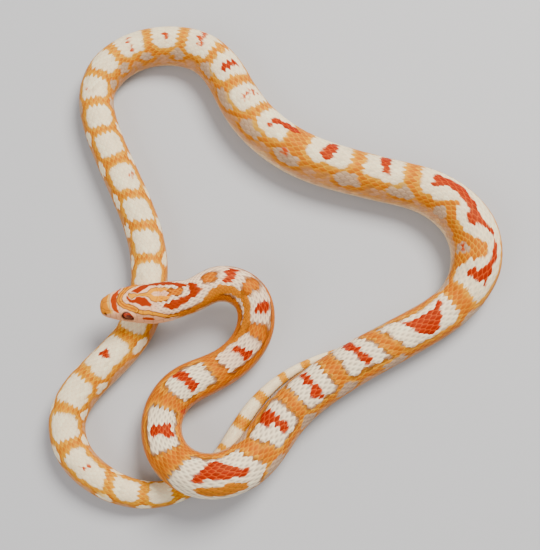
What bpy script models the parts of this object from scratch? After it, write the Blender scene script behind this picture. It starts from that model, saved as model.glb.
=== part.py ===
"""A young corn snake as a still, life-size model.

It lies on the floor in loose loops. The neck comes back over the body, the head rests
on the body, and the tail passes under one raised loop and lies along the next length.
Every length is one loft along the same route, parted from the next by a thin cut.
"""

import math

import bmesh
import bpy
import numpy as np
from mathutils import Matrix, Vector

# Drawing unit of every size below
MM = 0.001
# Gap that neighbouring pieces keep
GAP = 0.3
# Middle of the model's box on the plan that the route is drawn on
PLAN_CENTRE = (2.91, 5.82)

# Route of the body's middle line in plan, from the tip of the snout to the tip of the tail
ROUTE = [
    (-43.2, -12.1), (-35.6, -11.5), (-29.0, -11.3), (-22.9, -10.2), (-19.1, -9.1),
    (-15.6, -7.0), (-11.6, -5.9), (-7.4, -6.9), (-4.7, -9.4), (-3.6, -13.0),
    (-4.1, -17.1), (-8.7, -23.7), (-15.7, -28.1), (-23.0, -32.0), (-27.1, -38.4),
    (-26.3, -46.5), (-21.0, -52.4), (-13.5, -54.1), (-6.4, -51.5), (-1.2, -45.9),
    (3.6, -39.2), (9.5, -33.6), (16.3, -28.8), (27.3, -22.4), (38.4, -16.4),
    (45.8, -11.8), (51.9, -5.6), (55.0, 2.3), (54.1, 10.9), (49.2, 18.0),
    (42.1, 22.6), (33.7, 25.1), (21.0, 28.5), (12.7, 31.3), (4.8, 35.5),
    (-2.2, 41.3), (-8.1, 49.1), (-12.8, 58.0), (-19.2, 65.1), (-28.0, 67.7),
    (-37.2, 66.5), (-44.9, 61.7), (-49.2, 53.7), (-48.1, 44.0), (-44.5, 34.5),
    (-38.5, 21.5), (-33.6, 8.5), (-32.3, -4.9), (-35.7, -17.0), (-43.5, -26.5),
    (-48.8, -32.7), (-51.6, -40.0), (-49.7, -47.6), (-44.1, -53.5), (-37.0, -57.1),
    (-29.1, -58.2), (-21.4, -56.4), (-15.0, -52.1), (-10.4, -45.8), (-6.2, -38.6),
    (-1.1, -32.3), (5.4, -27.1), (12.65, -23.35), (20.8, -20.05), (28.7, -16.3),
]

# Head, by distance from the snout: half width, chin, crown and widest level
HEAD_FORM = [
    (0.0, 1.1, 2.05, 3.3, 2.7), (0.4, 2.0, 1.45, 3.8, 2.7), (1.3, 2.75, 1.05, 4.3, 2.7),
    (2.6, 3.35, 0.8, 4.75, 2.8), (4.2, 3.9, 0.55, 5.3, 2.9), (5.8, 4.3, 0.4, 5.75, 3.0),
    (7.4, 4.6, 0.3, 6.15, 3.0), (9.0, 4.9, 0.15, 6.45, 3.0), (12.2, 5.25, 0.05, 6.8, 3.0),
    (15.0, 5.4, 0.0, 7.0, 3.0), (17.5, 5.3, 0.0, 7.1, 3.0), (20.5, 4.85, 0.0, 7.25, 3.1),
    (22.5, 4.5, 0.0, 7.4, 3.3),
]
# Body, by distance from the snout: half width
GIRTH = [
    (25, 4.25), (28, 4.35), (31, 4.6), (34, 4.7), (40, 4.9), (47, 4.9), (58, 4.8),
    (73, 5.3), (90, 5.15), (102, 5.45), (121, 6.0), (137, 5.75), (162, 5.6), (180, 5.5),
    (188, 5.9), (196, 6.7), (204, 6.9), (212, 6.6), (229, 6.05), (258, 6.3), (272, 6.25),
    (296, 5.8), (318, 5.35), (330, 5.3), (341, 4.85), (353, 4.9), (380, 4.95), (416, 4.8),
    (433, 4.85), (449, 4.35), (457, 4.1), (473, 3.3), (489, 2.5), (505, 2.0), (521, 1.3),
    (530, 0.95), (537, 0.65), (545, 0.35),
]
# A body lying at rest is lower than wide, and widest below the middle of its height
HEIGHT_RATIO = 1.9
LEVEL_RATIO = 0.92
# Share of the half width that lies flat on the floor
BELLY_FLAT = 0.42
# Roundness of a section: 1 is an ellipse, less is squarer
ROUNDNESS = [(0, 0.85), (16, 0.85), (26, 1.0)]

# Height of the belly over the floor, where the neck and one loop are raised
LIFT = [
    (0, 9.9), (18, 9.9), (25, 9.1), (29, 8.2), (33, 7.0), (41, 4.4), (49, 2.0), (57, 0.4),
    (64, 0.0), (78, 0.0), (85, 0.9), (89, 2.3), (93, 4.2), (97, 5.5), (101, 5.9),
    (105, 5.8), (109, 4.8), (113, 3.2), (117, 1.7), (121, 0.7), (127, 0.0),
]
# Lean of the head and neck towards their left side, in degrees, about a line above the chin
LEAN = [(0, 15), (20, 15), (45, 0)]
LEAN_LEVEL = 3.0

# Where each length ends
HEAD_END = 21
LENGTHS = [
    ("neck", 43), ("body_1", 70), ("body_2", 90), ("body_3", 108), ("body_4", 186),
    ("body_5", 214), ("body_6", 302), ("body_7", 330), ("body_8", 412), ("body_9", 440),
    ("body_10", 466), ("tail_1", 500),
]
TAIL_END = 545

# Spacing of the rings, and steps round a quarter of a ring
RING_SPACING = 3.4
QUARTER_STEPS = 4
HEAD_RINGS = (0, 0.15, 0.4, 0.8, 1.4, 2.2)
HEAD_RING_SPACING = 1.1
HEAD_UPPER_STEPS = 6

# Mouth line on the side of the head, back to the corner of the jaw
MOUTH_LINE = [(-1, 1.75), (3, 1.75), (7, 1.4), (11, 1.55), (14.5, 2.15), (17, 2.9)]
BELOW_HEAD = -2.0
BESIDE_HEAD = 8.0
# Lips: how far they stand out, and where they start and are fullest under and over the line
LIP_HEIGHT = 0.16
LIP_BELOW = (-0.95, -0.3)
LIP_ABOVE = (0.6, 1.25)
# The lips fade out over this length at the tip of the snout and at the corner of the jaw
LIP_FADE = 2.5
LIP_END = 17.5
# Least height that the jaw keeps under the line, so that no two points of a ring meet
LEAST_JAW = 0.4

# Eye: a flat ball that looks outwards, a little forwards and a little up
EYE_PLACE = (7.4, 3.95, 4.0)
EYE_RADIUS = 1.6
EYE_DEPTH = 1.15
EYE_FORWARD = math.radians(10)
EYE_UP = math.radians(15)
EYE_SEGMENTS = 20
EYE_RINGS = 12

NOSTRIL_PLACE = (1.4, 2.65, 3.2)
NOSTRIL_RADIUS = 0.32
NOSTRIL_LENGTH = 1.2
NOSTRIL_SEGMENTS = 10

# Distance between the points of the table that turns spline steps into lengths
ROUTE_STEP = 0.1

COLOURS = {
    "head": (0.72, 0.33, 0.14),
    "lower_jaw": (0.80, 0.68, 0.58),
    "eye": (0.30, 0.05, 0.02),
    "neck": (0.78, 0.50, 0.30),
    "body": (0.80, 0.36, 0.06),
    "tail": (0.82, 0.40, 0.08),
}


def natural_spline(knots, values, at):
    """Natural cubic spline through the values, read at the given places."""
    count = len(knots)
    step = np.diff(knots)
    slope = np.diff(values) / step
    system = np.eye(count)
    bends = np.zeros(count)
    for i in range(1, count - 1):
        system[i, i - 1:i + 2] = (step[i - 1], 2 * (step[i - 1] + step[i]), step[i])
        bends[i] = 6 * (slope[i] - slope[i - 1])
    bends = np.linalg.solve(system, bends)
    i = np.clip(np.searchsorted(knots, at) - 1, 0, count - 2)
    ahead = knots[i + 1] - at
    past = at - knots[i]
    cubic = (bends[i] * ahead ** 3 + bends[i + 1] * past ** 3) / (6 * step[i])
    start = (values[i] / step[i] - bends[i] * step[i] / 6) * ahead
    end = (values[i + 1] / step[i] - bends[i + 1] * step[i] / 6) * past
    return cubic + start + end


def steady_curve(stations, at):
    """Smooth curve through the stations that never swings past a station's value."""
    places = np.array([station[0] for station in stations], dtype=float)
    values = np.array([station[1] for station in stations], dtype=float)
    step = np.diff(places)
    slope = np.diff(values) / step
    tangent = np.zeros(len(places))
    for i in range(1, len(places) - 1):
        if slope[i - 1] * slope[i] > 0:
            tangent[i] = 2 * slope[i - 1] * slope[i] / (slope[i - 1] + slope[i])
    tangent[0] = slope[0]
    tangent[-1] = slope[-1]
    at = min(max(at, places[0]), places[-1])
    i = min(max(int(np.searchsorted(places, at)) - 1, 0), len(step) - 1)
    t = (at - places[i]) / step[i]
    value = (2 * t ** 3 - 3 * t ** 2 + 1) * values[i] + (3 * t ** 2 - 2 * t ** 3) * values[i + 1]
    value += (t ** 3 - 2 * t ** 2 + t) * step[i] * tangent[i]
    value += (t ** 3 - t ** 2) * step[i] * tangent[i + 1]
    return float(value)


def plot_route():
    """Closely spaced points of the route, and the distance of each from the snout."""
    points = np.array(ROUTE) - np.array(PLAN_CENTRE)
    spans = np.linalg.norm(np.diff(points, axis=0), axis=1)
    knots = np.concatenate(([0.0], np.cumsum(spans)))
    at = np.arange(0, knots[-1], ROUTE_STEP)
    x = natural_spline(knots, points[:, 0], at)
    y = natural_spline(knots, points[:, 1], at)
    spans = np.hypot(np.diff(x), np.diff(y))
    return np.concatenate(([0.0], np.cumsum(spans))), x, y


ROUTE_LENGTHS, ROUTE_X, ROUTE_Y = plot_route()


def plan_point(s):
    """Point of the route at a distance from the snout, on the floor."""
    x = np.interp(s, ROUTE_LENGTHS, ROUTE_X)
    y = np.interp(s, ROUTE_LENGTHS, ROUTE_Y)
    return Vector((x, y, 0))


def travel(s):
    """Level direction of the route, from the head towards the tail."""
    return (plan_point(s + 0.5) - plan_point(s - 0.5)).normalized()


def form(s):
    """Half width, chin, crown and widest level of the section at a distance."""
    rows = list(HEAD_FORM)
    for place, half_width in GIRTH:
        rows.append((place, half_width, 0.0, HEIGHT_RATIO * half_width, LEVEL_RATIO * half_width))
    columns = range(1, len(rows[0]))
    return [steady_curve([(row[0], row[column]) for row in rows], s) for column in columns]


def side_at(s, height):
    """Half width of the section at a height."""
    half_width, chin, crown, level = form(s)
    if height < level:
        rise = math.sqrt(max(0.0, 1 - ((level - height) / (level - chin)) ** 2))
        return half_width * (BELLY_FLAT + (1 - BELLY_FLAT) * rise)
    roundness = steady_curve(ROUNDNESS, s)
    rise = min(1.0, (height - level) / (crown - level)) ** (1 / roundness)
    return half_width * math.sqrt(1 - rise ** 2) ** roundness


def both_sides(side, crown):
    """Whole outline from its left side, which runs from the belly to the back."""
    other_side = [(-across, height) for across, height in reversed(side)]
    return side + [(0.0, crown)] + other_side


def section(s, quarter_steps):
    """Outline of the section, belly to back up the left side and down the right."""
    half_width, chin, crown, level = form(s)
    roundness = steady_curve(ROUNDNESS, s)
    side = []
    for step in range(quarter_steps):
        angle = math.pi / 2 * step / quarter_steps
        across = BELLY_FLAT + (1 - BELLY_FLAT) * math.sin(angle)
        side.append((half_width * across, level - (level - chin) * math.cos(angle)))
    for step in range(quarter_steps):
        angle = math.pi / 2 * step / quarter_steps
        across = half_width * math.cos(angle) ** roundness
        side.append((across, level + (crown - level) * math.sin(angle) ** roundness))
    return both_sides(side, crown)


def head_section(s):
    """Outline of the head, with the lips on both sides of the mouth line."""
    half_width, chin, crown, level = form(s)
    places = [place for place, height in MOUTH_LINE]
    mouth = float(np.interp(s, places, [height for place, height in MOUTH_LINE]))
    mouth = max(mouth, chin + LEAST_JAW)
    fade = max(0.0, min(1.0, s / LIP_FADE, (LIP_END - s) / LIP_FADE))
    shrink = min(1.0, (mouth - chin) / (2 * abs(LIP_BELOW[0])))
    outer, inner = (mouth + offset * shrink for offset in LIP_BELOW)
    lower, upper = (mouth + offset for offset in LIP_ABOVE)
    side = [(half_width * BELLY_FLAT, chin), (side_at(s, (chin + outer) / 2), (chin + outer) / 2)]
    side.append((side_at(s, outer), outer))
    side.append((side_at(s, inner) + LIP_HEIGHT * fade, inner))
    side.append((side_at(s, lower) + LIP_HEIGHT * fade, lower))
    for step in range(HEAD_UPPER_STEPS):
        height = upper + (crown - upper) * math.sin(math.pi / 2 * step / HEAD_UPPER_STEPS)
        side.append((side_at(s, height), height))
    return both_sides(side, crown)


def ring(s, outline, shift=0.0):
    """Points of an outline in place, moved along the route by the shift."""
    forward = travel(s)
    left = Vector((-forward.y, forward.x, 0))
    base = plan_point(s) + forward * shift
    lift = steady_curve(LIFT, s)
    lean = math.radians(steady_curve(LEAN, s))
    points = []
    for across, height in outline:
        over = height - LEAN_LEVEL
        leaned = across * math.cos(lean) + over * math.sin(lean)
        raised = LEAN_LEVEL + over * math.cos(lean) - across * math.sin(lean)
        points.append((base + left * leaned + Vector((0, 0, lift + raised))) * MM)
    return points


def head_frame():
    """Frame of the head: back from the snout, towards its left, and up from the chin."""
    forward = travel(1.0)
    left = Vector((-forward.y, forward.x, 0))
    base = plan_point(0) + Vector((0, 0, steady_curve(LIFT, 0)))
    axes = Matrix((forward, left, Vector((0, 0, 1)))).transposed().to_4x4()
    lean = Matrix.Rotation(-math.radians(steady_curve(LEAN, 0)), 4, "X")
    up = Matrix.Translation((0, 0, LEAN_LEVEL * MM))
    return Matrix.Translation(base * MM) @ axes @ up @ lean @ up.inverted()


def make_material(name):
    """Plain finish of one piece, by the kind of piece that its name starts with."""
    kind = next(kind for kind in COLOURS if name.startswith(kind))
    material = bpy.data.materials.new(name + "_finish")
    material.use_nodes = True
    shader = material.node_tree.nodes["Principled BSDF"]
    shader.inputs["Base Color"].default_value = (*COLOURS[kind], 1)
    shader.inputs["Roughness"].default_value = 0.1 if kind == "eye" else 0.45
    shader.inputs["Metallic"].default_value = 0.0
    return material


def add_object(name, bm, collection):
    """New object that holds the given faces, wound so that they face out."""
    bmesh.ops.recalc_face_normals(bm, faces=bm.faces)
    bmesh.ops.triangulate(bm, faces=bm.faces)
    mesh = bpy.data.meshes.new(name)
    bm.to_mesh(mesh)
    bm.free()
    mesh.shade_smooth()
    mesh.set_sharp_from_angle(angle=math.radians(50))
    item = bpy.data.objects.new(name, mesh)
    collection.objects.link(item)
    return item


def add_piece(name, bm, pieces):
    """One named sub-part with its own finish."""
    item = add_object(name, bm, pieces)
    item.data.materials.append(make_material(name))
    return item


def loft(rings):
    """Closed skin over the rings, with flat ends."""
    bm = bmesh.new()
    loops = [[bm.verts.new(point) for point in points] for points in rings]
    count = len(loops[0])
    for here, beyond in zip(loops, loops[1:]):
        for i in range(count):
            j = (i + 1) % count
            bm.faces.new((here[i], here[j], beyond[j], beyond[i]))
    bm.faces.new(loops[0])
    bm.faces.new(reversed(loops[-1]))
    return bm


def length_loft(start, end):
    """One length of the body, parted from its neighbours by half the gap at each end."""
    count = max(2, round((end - start) / RING_SPACING))
    rings = [ring(start, section(start, QUARTER_STEPS), GAP / 2)]
    for i in range(1, count):
        place = start + (end - start) * i / count
        rings.append(ring(place, section(place, QUARTER_STEPS)))
    rings.append(ring(end, section(end, QUARTER_STEPS), -GAP / 2))
    return loft(rings)


def whole_head():
    """The head with its jaw, before they are parted."""
    places = list(HEAD_RINGS)
    count = round((HEAD_END - places[-1]) / HEAD_RING_SPACING)
    start = places[-1]
    places += [start + (HEAD_END - start) * i / count for i in range(1, count)]
    rings = [ring(place, head_section(place)) for place in places]
    rings.append(ring(HEAD_END, head_section(HEAD_END), -GAP / 2))
    return loft(rings)


def jaw_space(name, grown, cutters):
    """Solid that holds the lower jaw, up to the mouth line and back to the jaw's corner."""
    outline = [(place, height + grown) for place, height in MOUTH_LINE]
    before, corner = outline[-2:]
    slope = (corner[1] - before[1]) / (corner[0] - before[0])
    outline[-1] = (corner[0] + grown, corner[1] + slope * grown)
    outline += [(corner[0] + grown, BELOW_HEAD), (outline[0][0], BELOW_HEAD)]
    bm = bmesh.new()
    corners = [bm.verts.new((x * MM, -BESIDE_HEAD * MM, z * MM)) for x, z in outline]
    face = bm.faces.new(corners)
    grown_faces = bmesh.ops.extrude_face_region(bm, geom=[face])["geom"]
    moved = [item for item in grown_faces if isinstance(item, bmesh.types.BMVert)]
    bmesh.ops.translate(bm, verts=moved, vec=(0, 2 * BESIDE_HEAD * MM, 0))
    return add_cutter(name, bm, head_frame(), cutters)


def add_cutter(name, bm, matrix, cutters):
    """Shape that only cuts another, kept out of sight."""
    item = add_object(name, bm, cutters)
    item.matrix_world = matrix
    item.hide_render = True
    item.display_type = "WIRE"
    return item


def boolean(item, cutter, operation):
    """Cut or keep part of a piece with a cutter."""
    modifier = item.modifiers.new(cutter.name, "BOOLEAN")
    modifier.operation = operation
    modifier.solver = "EXACT"
    modifier.object = cutter


def eye_matrix(side, grown):
    """Place, tilt and size of an eye, or of its socket grown by a gap."""
    place, across, height = EYE_PLACE
    turn = Matrix.Rotation(side * (math.pi / 2 + EYE_FORWARD), 4, "Z")
    tilt = Matrix.Rotation(-EYE_UP, 4, "Y")
    size = Matrix.Diagonal((EYE_DEPTH + grown, EYE_RADIUS + grown, EYE_RADIUS + grown, 1))
    centre = Matrix.Translation(Vector((place, side * across, height)) * MM)
    return head_frame() @ centre @ turn @ tilt @ size @ Matrix.Scale(MM, 4)


def eye_ball():
    """Ball of unit radius with its pole along +X, where the eye looks."""
    bm = bmesh.new()
    turn = Matrix.Rotation(math.pi / 2, 4, "Y")
    bmesh.ops.create_uvsphere(
        bm, u_segments=EYE_SEGMENTS, v_segments=EYE_RINGS, radius=1, matrix=turn)
    return bm


def add_eye(name, side, pieces, cutters):
    """One eye, and the cutter of its socket."""
    ball = eye_ball()
    bmesh.ops.transform(ball, matrix=eye_matrix(side, 0), verts=ball.verts)
    add_piece(name, ball, pieces)
    socket = eye_ball()
    bmesh.ops.transform(socket, matrix=eye_matrix(side, GAP), verts=socket.verts)
    return add_cutter(name + "_socket", socket, Matrix.Identity(4), cutters)


def nostril_cutter(side, cutters):
    """Blind pit at the side of the snout."""
    bm = bmesh.new()
    bmesh.ops.create_cone(
        bm, cap_ends=True, segments=NOSTRIL_SEGMENTS, radius1=NOSTRIL_RADIUS * MM,
        radius2=NOSTRIL_RADIUS * MM, depth=NOSTRIL_LENGTH * MM)
    place, across, height = NOSTRIL_PLACE
    centre = Matrix.Translation(Vector((place, side * across, height)) * MM)
    turn = Matrix.Rotation(math.pi / 2, 4, "X")
    matrix = head_frame() @ centre @ turn
    return add_cutter("nostril_" + ("left" if side > 0 else "right"), bm, matrix, cutters)


def make_head(pieces, cutters):
    """The head, its lower jaw and its two eyes."""
    head = add_piece("head", whole_head(), pieces)
    jaw = add_piece("lower_jaw", whole_head(), pieces)
    boolean(jaw, jaw_space("jaw_space", 0.0, cutters), "INTERSECT")
    boolean(head, jaw_space("jaw_clearance", GAP, cutters), "DIFFERENCE")
    for name, side in (("eye_left", 1), ("eye_right", -1)):
        boolean(head, add_eye(name, side, pieces, cutters), "DIFFERENCE")
        boolean(head, nostril_cutter(side, cutters), "DIFFERENCE")


def make_lengths(pieces):
    """Neck, body and tail, each length in its own piece."""
    start = HEAD_END
    for name, end in LENGTHS + [("tail_2", TAIL_END)]:
        add_piece(name, length_loft(start, end), pieces)
        start = end


def main():
    for item in list(bpy.data.objects):
        bpy.data.objects.remove(item, do_unlink=True)
    pieces = bpy.data.collections.new("corn_snake")
    cutters = bpy.data.collections.new("cutters")
    bpy.context.scene.collection.children.link(pieces)
    bpy.context.scene.collection.children.link(cutters)
    make_head(pieces, cutters)
    make_lengths(pieces)


main()
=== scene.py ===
"""Dresses the corn snake in its skin, scales and eyes, and lights it on a plain floor."""

import math

import bpy
import numpy as np
from mathutils import Matrix, Vector


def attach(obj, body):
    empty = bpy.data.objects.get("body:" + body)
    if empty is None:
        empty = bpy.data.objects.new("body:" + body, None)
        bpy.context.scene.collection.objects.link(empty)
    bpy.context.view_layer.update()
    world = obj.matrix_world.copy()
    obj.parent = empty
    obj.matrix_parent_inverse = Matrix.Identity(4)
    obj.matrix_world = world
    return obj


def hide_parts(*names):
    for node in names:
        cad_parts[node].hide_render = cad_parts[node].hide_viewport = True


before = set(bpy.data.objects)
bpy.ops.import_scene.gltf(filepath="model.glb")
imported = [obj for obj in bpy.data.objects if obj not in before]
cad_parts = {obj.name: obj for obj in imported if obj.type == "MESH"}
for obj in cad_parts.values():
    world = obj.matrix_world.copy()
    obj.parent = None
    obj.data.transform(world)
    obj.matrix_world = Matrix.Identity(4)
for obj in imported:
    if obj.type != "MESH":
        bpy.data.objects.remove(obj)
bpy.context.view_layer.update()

# Sizes are in mm, apart from those of the floor and the lights, which are in m
MM = 0.001
# Draws the small differences between the scales
SCALE_SEED = 7
rng = np.random.default_rng(SCALE_SEED)

# Form of the body, the same as in the solids: middle of the animal, then its route from the snout,
# both from the middle of the picture
PLAN_CENTRE = (2.91, 5.82)
ROUTE = [
    (-43.2, -12.1), (-35.6, -11.5), (-29.0, -11.3), (-22.9, -10.2), (-19.1, -9.1),
    (-15.6, -7.0), (-11.6, -5.9), (-7.4, -6.9), (-4.7, -9.4), (-3.6, -13.0),
    (-4.1, -17.1), (-8.7, -23.7), (-15.7, -28.1), (-23.0, -32.0), (-27.1, -38.4),
    (-26.3, -46.5), (-21.0, -52.4), (-13.5, -54.1), (-6.4, -51.5), (-1.2, -45.9),
    (3.6, -39.2), (9.5, -33.6), (16.3, -28.8), (27.3, -22.4), (38.4, -16.4),
    (45.8, -11.8), (51.9, -5.6), (55.0, 2.3), (54.1, 10.9), (49.2, 18.0),
    (42.1, 22.6), (33.7, 25.1), (21.0, 28.5), (12.7, 31.3), (4.8, 35.5),
    (-2.2, 41.3), (-8.1, 49.1), (-12.8, 58.0), (-19.2, 65.1), (-28.0, 67.7),
    (-37.2, 66.5), (-44.9, 61.7), (-49.2, 53.7), (-48.1, 44.0), (-44.5, 34.5),
    (-38.5, 21.5), (-33.6, 8.5), (-32.3, -4.9), (-35.7, -17.0), (-43.5, -26.5),
    (-48.8, -32.7), (-51.6, -40.0), (-49.7, -47.6), (-44.1, -53.5), (-37.0, -57.1),
    (-29.1, -58.2), (-21.4, -56.4), (-15.0, -52.1), (-10.4, -45.8), (-6.2, -38.6),
    (-1.1, -32.3), (5.4, -27.1), (12.65, -23.35), (20.8, -20.05), (28.7, -16.3),
]
# Distance from the snout, then half width, chin, crown and widest level
HEAD_FORM = [
    (0.0, 1.1, 2.05, 3.3, 2.7), (0.4, 2.0, 1.45, 3.8, 2.7), (1.3, 2.75, 1.05, 4.3, 2.7),
    (2.6, 3.35, 0.8, 4.75, 2.8), (4.2, 3.9, 0.55, 5.3, 2.9), (5.8, 4.3, 0.4, 5.75, 3.0),
    (7.4, 4.6, 0.3, 6.15, 3.0), (9.0, 4.9, 0.15, 6.45, 3.0), (12.2, 5.25, 0.05, 6.8, 3.0),
    (15.0, 5.4, 0.0, 7.0, 3.0), (17.5, 5.3, 0.0, 7.1, 3.0), (20.5, 4.85, 0.0, 7.25, 3.1),
    (22.5, 4.5, 0.0, 7.4, 3.3),
]
# Distance from the snout, then half width
GIRTH = [
    (25, 4.25), (28, 4.35), (31, 4.6), (34, 4.7), (40, 4.9), (47, 4.9), (58, 4.8), (73, 5.3),
    (90, 5.15), (102, 5.45), (121, 6.0), (137, 5.75), (162, 5.6), (180, 5.5), (188, 5.9),
    (196, 6.7), (204, 6.9), (212, 6.6), (229, 6.05), (258, 6.3), (272, 6.25), (296, 5.8),
    (318, 5.35), (330, 5.3), (341, 4.85), (353, 4.9), (380, 4.95), (416, 4.8), (433, 4.85),
    (449, 4.35), (457, 4.1), (473, 3.3), (489, 2.5), (505, 2.0), (521, 1.3), (530, 0.95),
    (537, 0.65), (545, 0.35),
]
# Height of the body, level of its widest line and flat part of its belly, in half widths
HEIGHT_RATIO = 1.9
LEVEL_RATIO = 0.92
BELLY_FLAT = 0.42
# Power of the back's curve, fuller than a circle's where it is below 1
ROUNDNESS = [(0, 0.85), (16, 0.85), (26, 1.0)]
# Height of the underside above the floor
LIFT = [
    (0, 9.9), (18, 9.9), (25, 9.1), (29, 8.2), (33, 7.0), (41, 4.4), (49, 2.0), (57, 0.4),
    (64, 0.0), (78, 0.0), (85, 0.9), (89, 2.3), (93, 4.2), (97, 5.5), (101, 5.9), (105, 5.8),
    (109, 4.8), (113, 3.2), (117, 1.7), (121, 0.7), (127, 0.0),
]
# Lean of the sections towards the left side, in degrees, about a line at this level
LEAN = [(0, 15), (20, 15), (45, 0)]
LEAN_LEVEL = 3.0
TAIL_END = 545
# Level of the mouth line
MOUTH_LINE = [(-1, 1.75), (3, 1.75), (7, 1.4), (11, 1.55), (14.5, 2.15), (17, 2.9)]
# Eye and nostril: back from the snout, out from the middle and up from the chin
EYE_PLACE = (7.5, 3.3, 3.6)
EYE_RADIUS = (1.8, 1.62)
EYE_DEPTH = 1.15
EYE_FORWARD = math.radians(8)
EYE_UP = math.radians(8)
NOSTRIL_PLACE = (1.4, 2.65, 3.2)
# Step between the route's points, and how far each way its direction is read
ROUTE_STEP = 0.1
TRAVEL_REACH = 0.5
# Points that draw a section: over the back, down the side and under the belly
OUTLINE_POINTS = (60, 40, 12)


def natural_spline(knots, values, at):
    """Natural cubic spline through the values, read at the given places."""
    count = len(knots)
    step = np.diff(knots)
    slope = np.diff(values) / step
    system = np.eye(count)
    bends = np.zeros(count)
    for i in range(1, count - 1):
        system[i, i - 1:i + 2] = (step[i - 1], 2 * (step[i - 1] + step[i]), step[i])
        bends[i] = 6 * (slope[i] - slope[i - 1])
    bends = np.linalg.solve(system, bends)
    i = np.clip(np.searchsorted(knots, at) - 1, 0, count - 2)
    ahead = knots[i + 1] - at
    past = at - knots[i]
    cubic = (bends[i] * ahead ** 3 + bends[i + 1] * past ** 3) / (6 * step[i])
    start = (values[i] / step[i] - bends[i] * step[i] / 6) * ahead
    end = (values[i + 1] / step[i] - bends[i + 1] * step[i] / 6) * past
    return cubic + start + end


def steady(stations, at, column=1):
    """Smooth curve through the stations that never swings past a station's value."""
    places = np.array([station[0] for station in stations], dtype=float)
    values = np.array([station[column] for station in stations], dtype=float)
    step = np.diff(places)
    slope = np.diff(values) / step
    tangent = np.zeros(len(places))
    before = slope[:-1]
    after = slope[1:]
    same = before * after > 0
    tangent[1:-1][same] = 2 * before[same] * after[same] / (before[same] + after[same])
    tangent[0] = slope[0]
    tangent[-1] = slope[-1]
    at = np.clip(at, places[0], places[-1])
    i = np.clip(np.searchsorted(places, at) - 1, 0, len(step) - 1)
    t = (at - places[i]) / step[i]
    value = (2 * t ** 3 - 3 * t ** 2 + 1) * values[i] + (3 * t ** 2 - 2 * t ** 3) * values[i + 1]
    value += (t ** 3 - 2 * t ** 2 + t) * step[i] * tangent[i]
    return value + (t ** 3 - t ** 2) * step[i] * tangent[i + 1]


def ramp(low, high, value):
    """Smooth step from 0 at low to 1 at high."""
    t = np.clip((value - low) / (high - low), 0, 1)
    return t * t * (3 - 2 * t)


def table_value(table, at):
    """Value of a table at the given distances."""
    return np.interp(at, [row[0] for row in table], [row[1] for row in table])


def plot_route():
    """Closely spaced points of the route, and the distance of each from the snout."""
    points = np.array(ROUTE) - np.array(PLAN_CENTRE)
    spans = np.linalg.norm(np.diff(points, axis=0), axis=1)
    knots = np.concatenate(([0.0], np.cumsum(spans)))
    at = np.arange(0, knots[-1], ROUTE_STEP)
    x = natural_spline(knots, points[:, 0], at)
    y = natural_spline(knots, points[:, 1], at)
    spans = np.hypot(np.diff(x), np.diff(y))
    return np.concatenate(([0.0], np.cumsum(spans))), x, y


ROUTE_LENGTHS, ROUTE_X, ROUTE_Y = plot_route()


def plan_point(s):
    """Point of the route on the floor, the same beyond its ends as at them."""
    x = np.interp(s, ROUTE_LENGTHS, ROUTE_X)
    y = np.interp(s, ROUTE_LENGTHS, ROUTE_Y)
    return x, y


def travel(s):
    """Level direction of the route, from the head towards the tail."""
    x1, y1 = plan_point(s + TRAVEL_REACH)
    x0, y0 = plan_point(s - TRAVEL_REACH)
    length = np.hypot(x1 - x0, y1 - y0)
    return (x1 - x0) / length, (y1 - y0) / length


FORM_ROWS = list(HEAD_FORM)
for place, half_width in GIRTH:
    row = (place, half_width, 0.0, HEIGHT_RATIO * half_width, LEVEL_RATIO * half_width)
    FORM_ROWS.append(row)


def half_sections(s, count):
    """Outline of each section from the back to the belly, evenly spaced, and its length."""
    half_width, chin, crown, level = (steady(FORM_ROWS, s, k)[:, None] for k in (1, 2, 3, 4))
    roundness = steady(ROUNDNESS, s)[:, None]
    back_points, side_points, belly_points = OUTLINE_POINTS
    angle = np.linspace(math.pi / 2, 0, back_points)[None, :]
    across = half_width * np.cos(angle).clip(0) ** roundness
    upper = np.stack([across, level + (crown - level) * np.sin(angle).clip(0) ** roundness], -1)
    angle = np.linspace(math.pi / 2, 0, side_points)[None, 1:]
    across = half_width * (BELLY_FLAT + (1 - BELLY_FLAT) * np.sin(angle))
    lower = np.stack([across, level - (level - chin) * np.cos(angle)], -1)
    share = np.linspace(1, 0, belly_points)[None, 1:]
    flat = np.stack([half_width * BELLY_FLAT * share, chin + 0 * share], -1)
    outline = np.concatenate([upper, lower, flat], 1)
    spans = np.linalg.norm(np.diff(outline, axis=1), axis=2)
    lengths = np.concatenate([np.zeros((len(s), 1)), np.cumsum(spans, 1)], 1)
    even = np.linspace(0, 1, count)
    sections = np.empty((len(s), count, 2))
    for i in range(len(s)):
        for axis in (0, 1):
            sections[i, :, axis] = np.interp(even * lengths[i, -1], lengths[i], outline[i, :, axis])
    return sections, lengths[:, -1]


def body_grid(s, count):
    """Points of the body's surface, round from the belly over the right side and the back.

    Returns the points, their place in the section and the half girth of each section.
    """
    half, girth = half_sections(s, count)
    across = np.concatenate([-half[:, :0:-1, 0], half[:, :, 0]], 1)
    height = np.concatenate([half[:, :0:-1, 1], half[:, :, 1]], 1)
    lean = np.radians(steady(LEAN, s))[:, None]
    over = height - LEAN_LEVEL
    leaned = across * np.cos(lean) + over * np.sin(lean)
    raised = LEAN_LEVEL + over * np.cos(lean) - across * np.sin(lean) + steady(LIFT, s)[:, None]
    x, y = plan_point(s)
    ahead_x, ahead_y = travel(s)
    points = np.stack([
        x[:, None] - ahead_y[:, None] * leaned, y[:, None] + ahead_x[:, None] * leaned, raised
    ], -1)
    return points, np.stack([across, height], -1), girth


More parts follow.
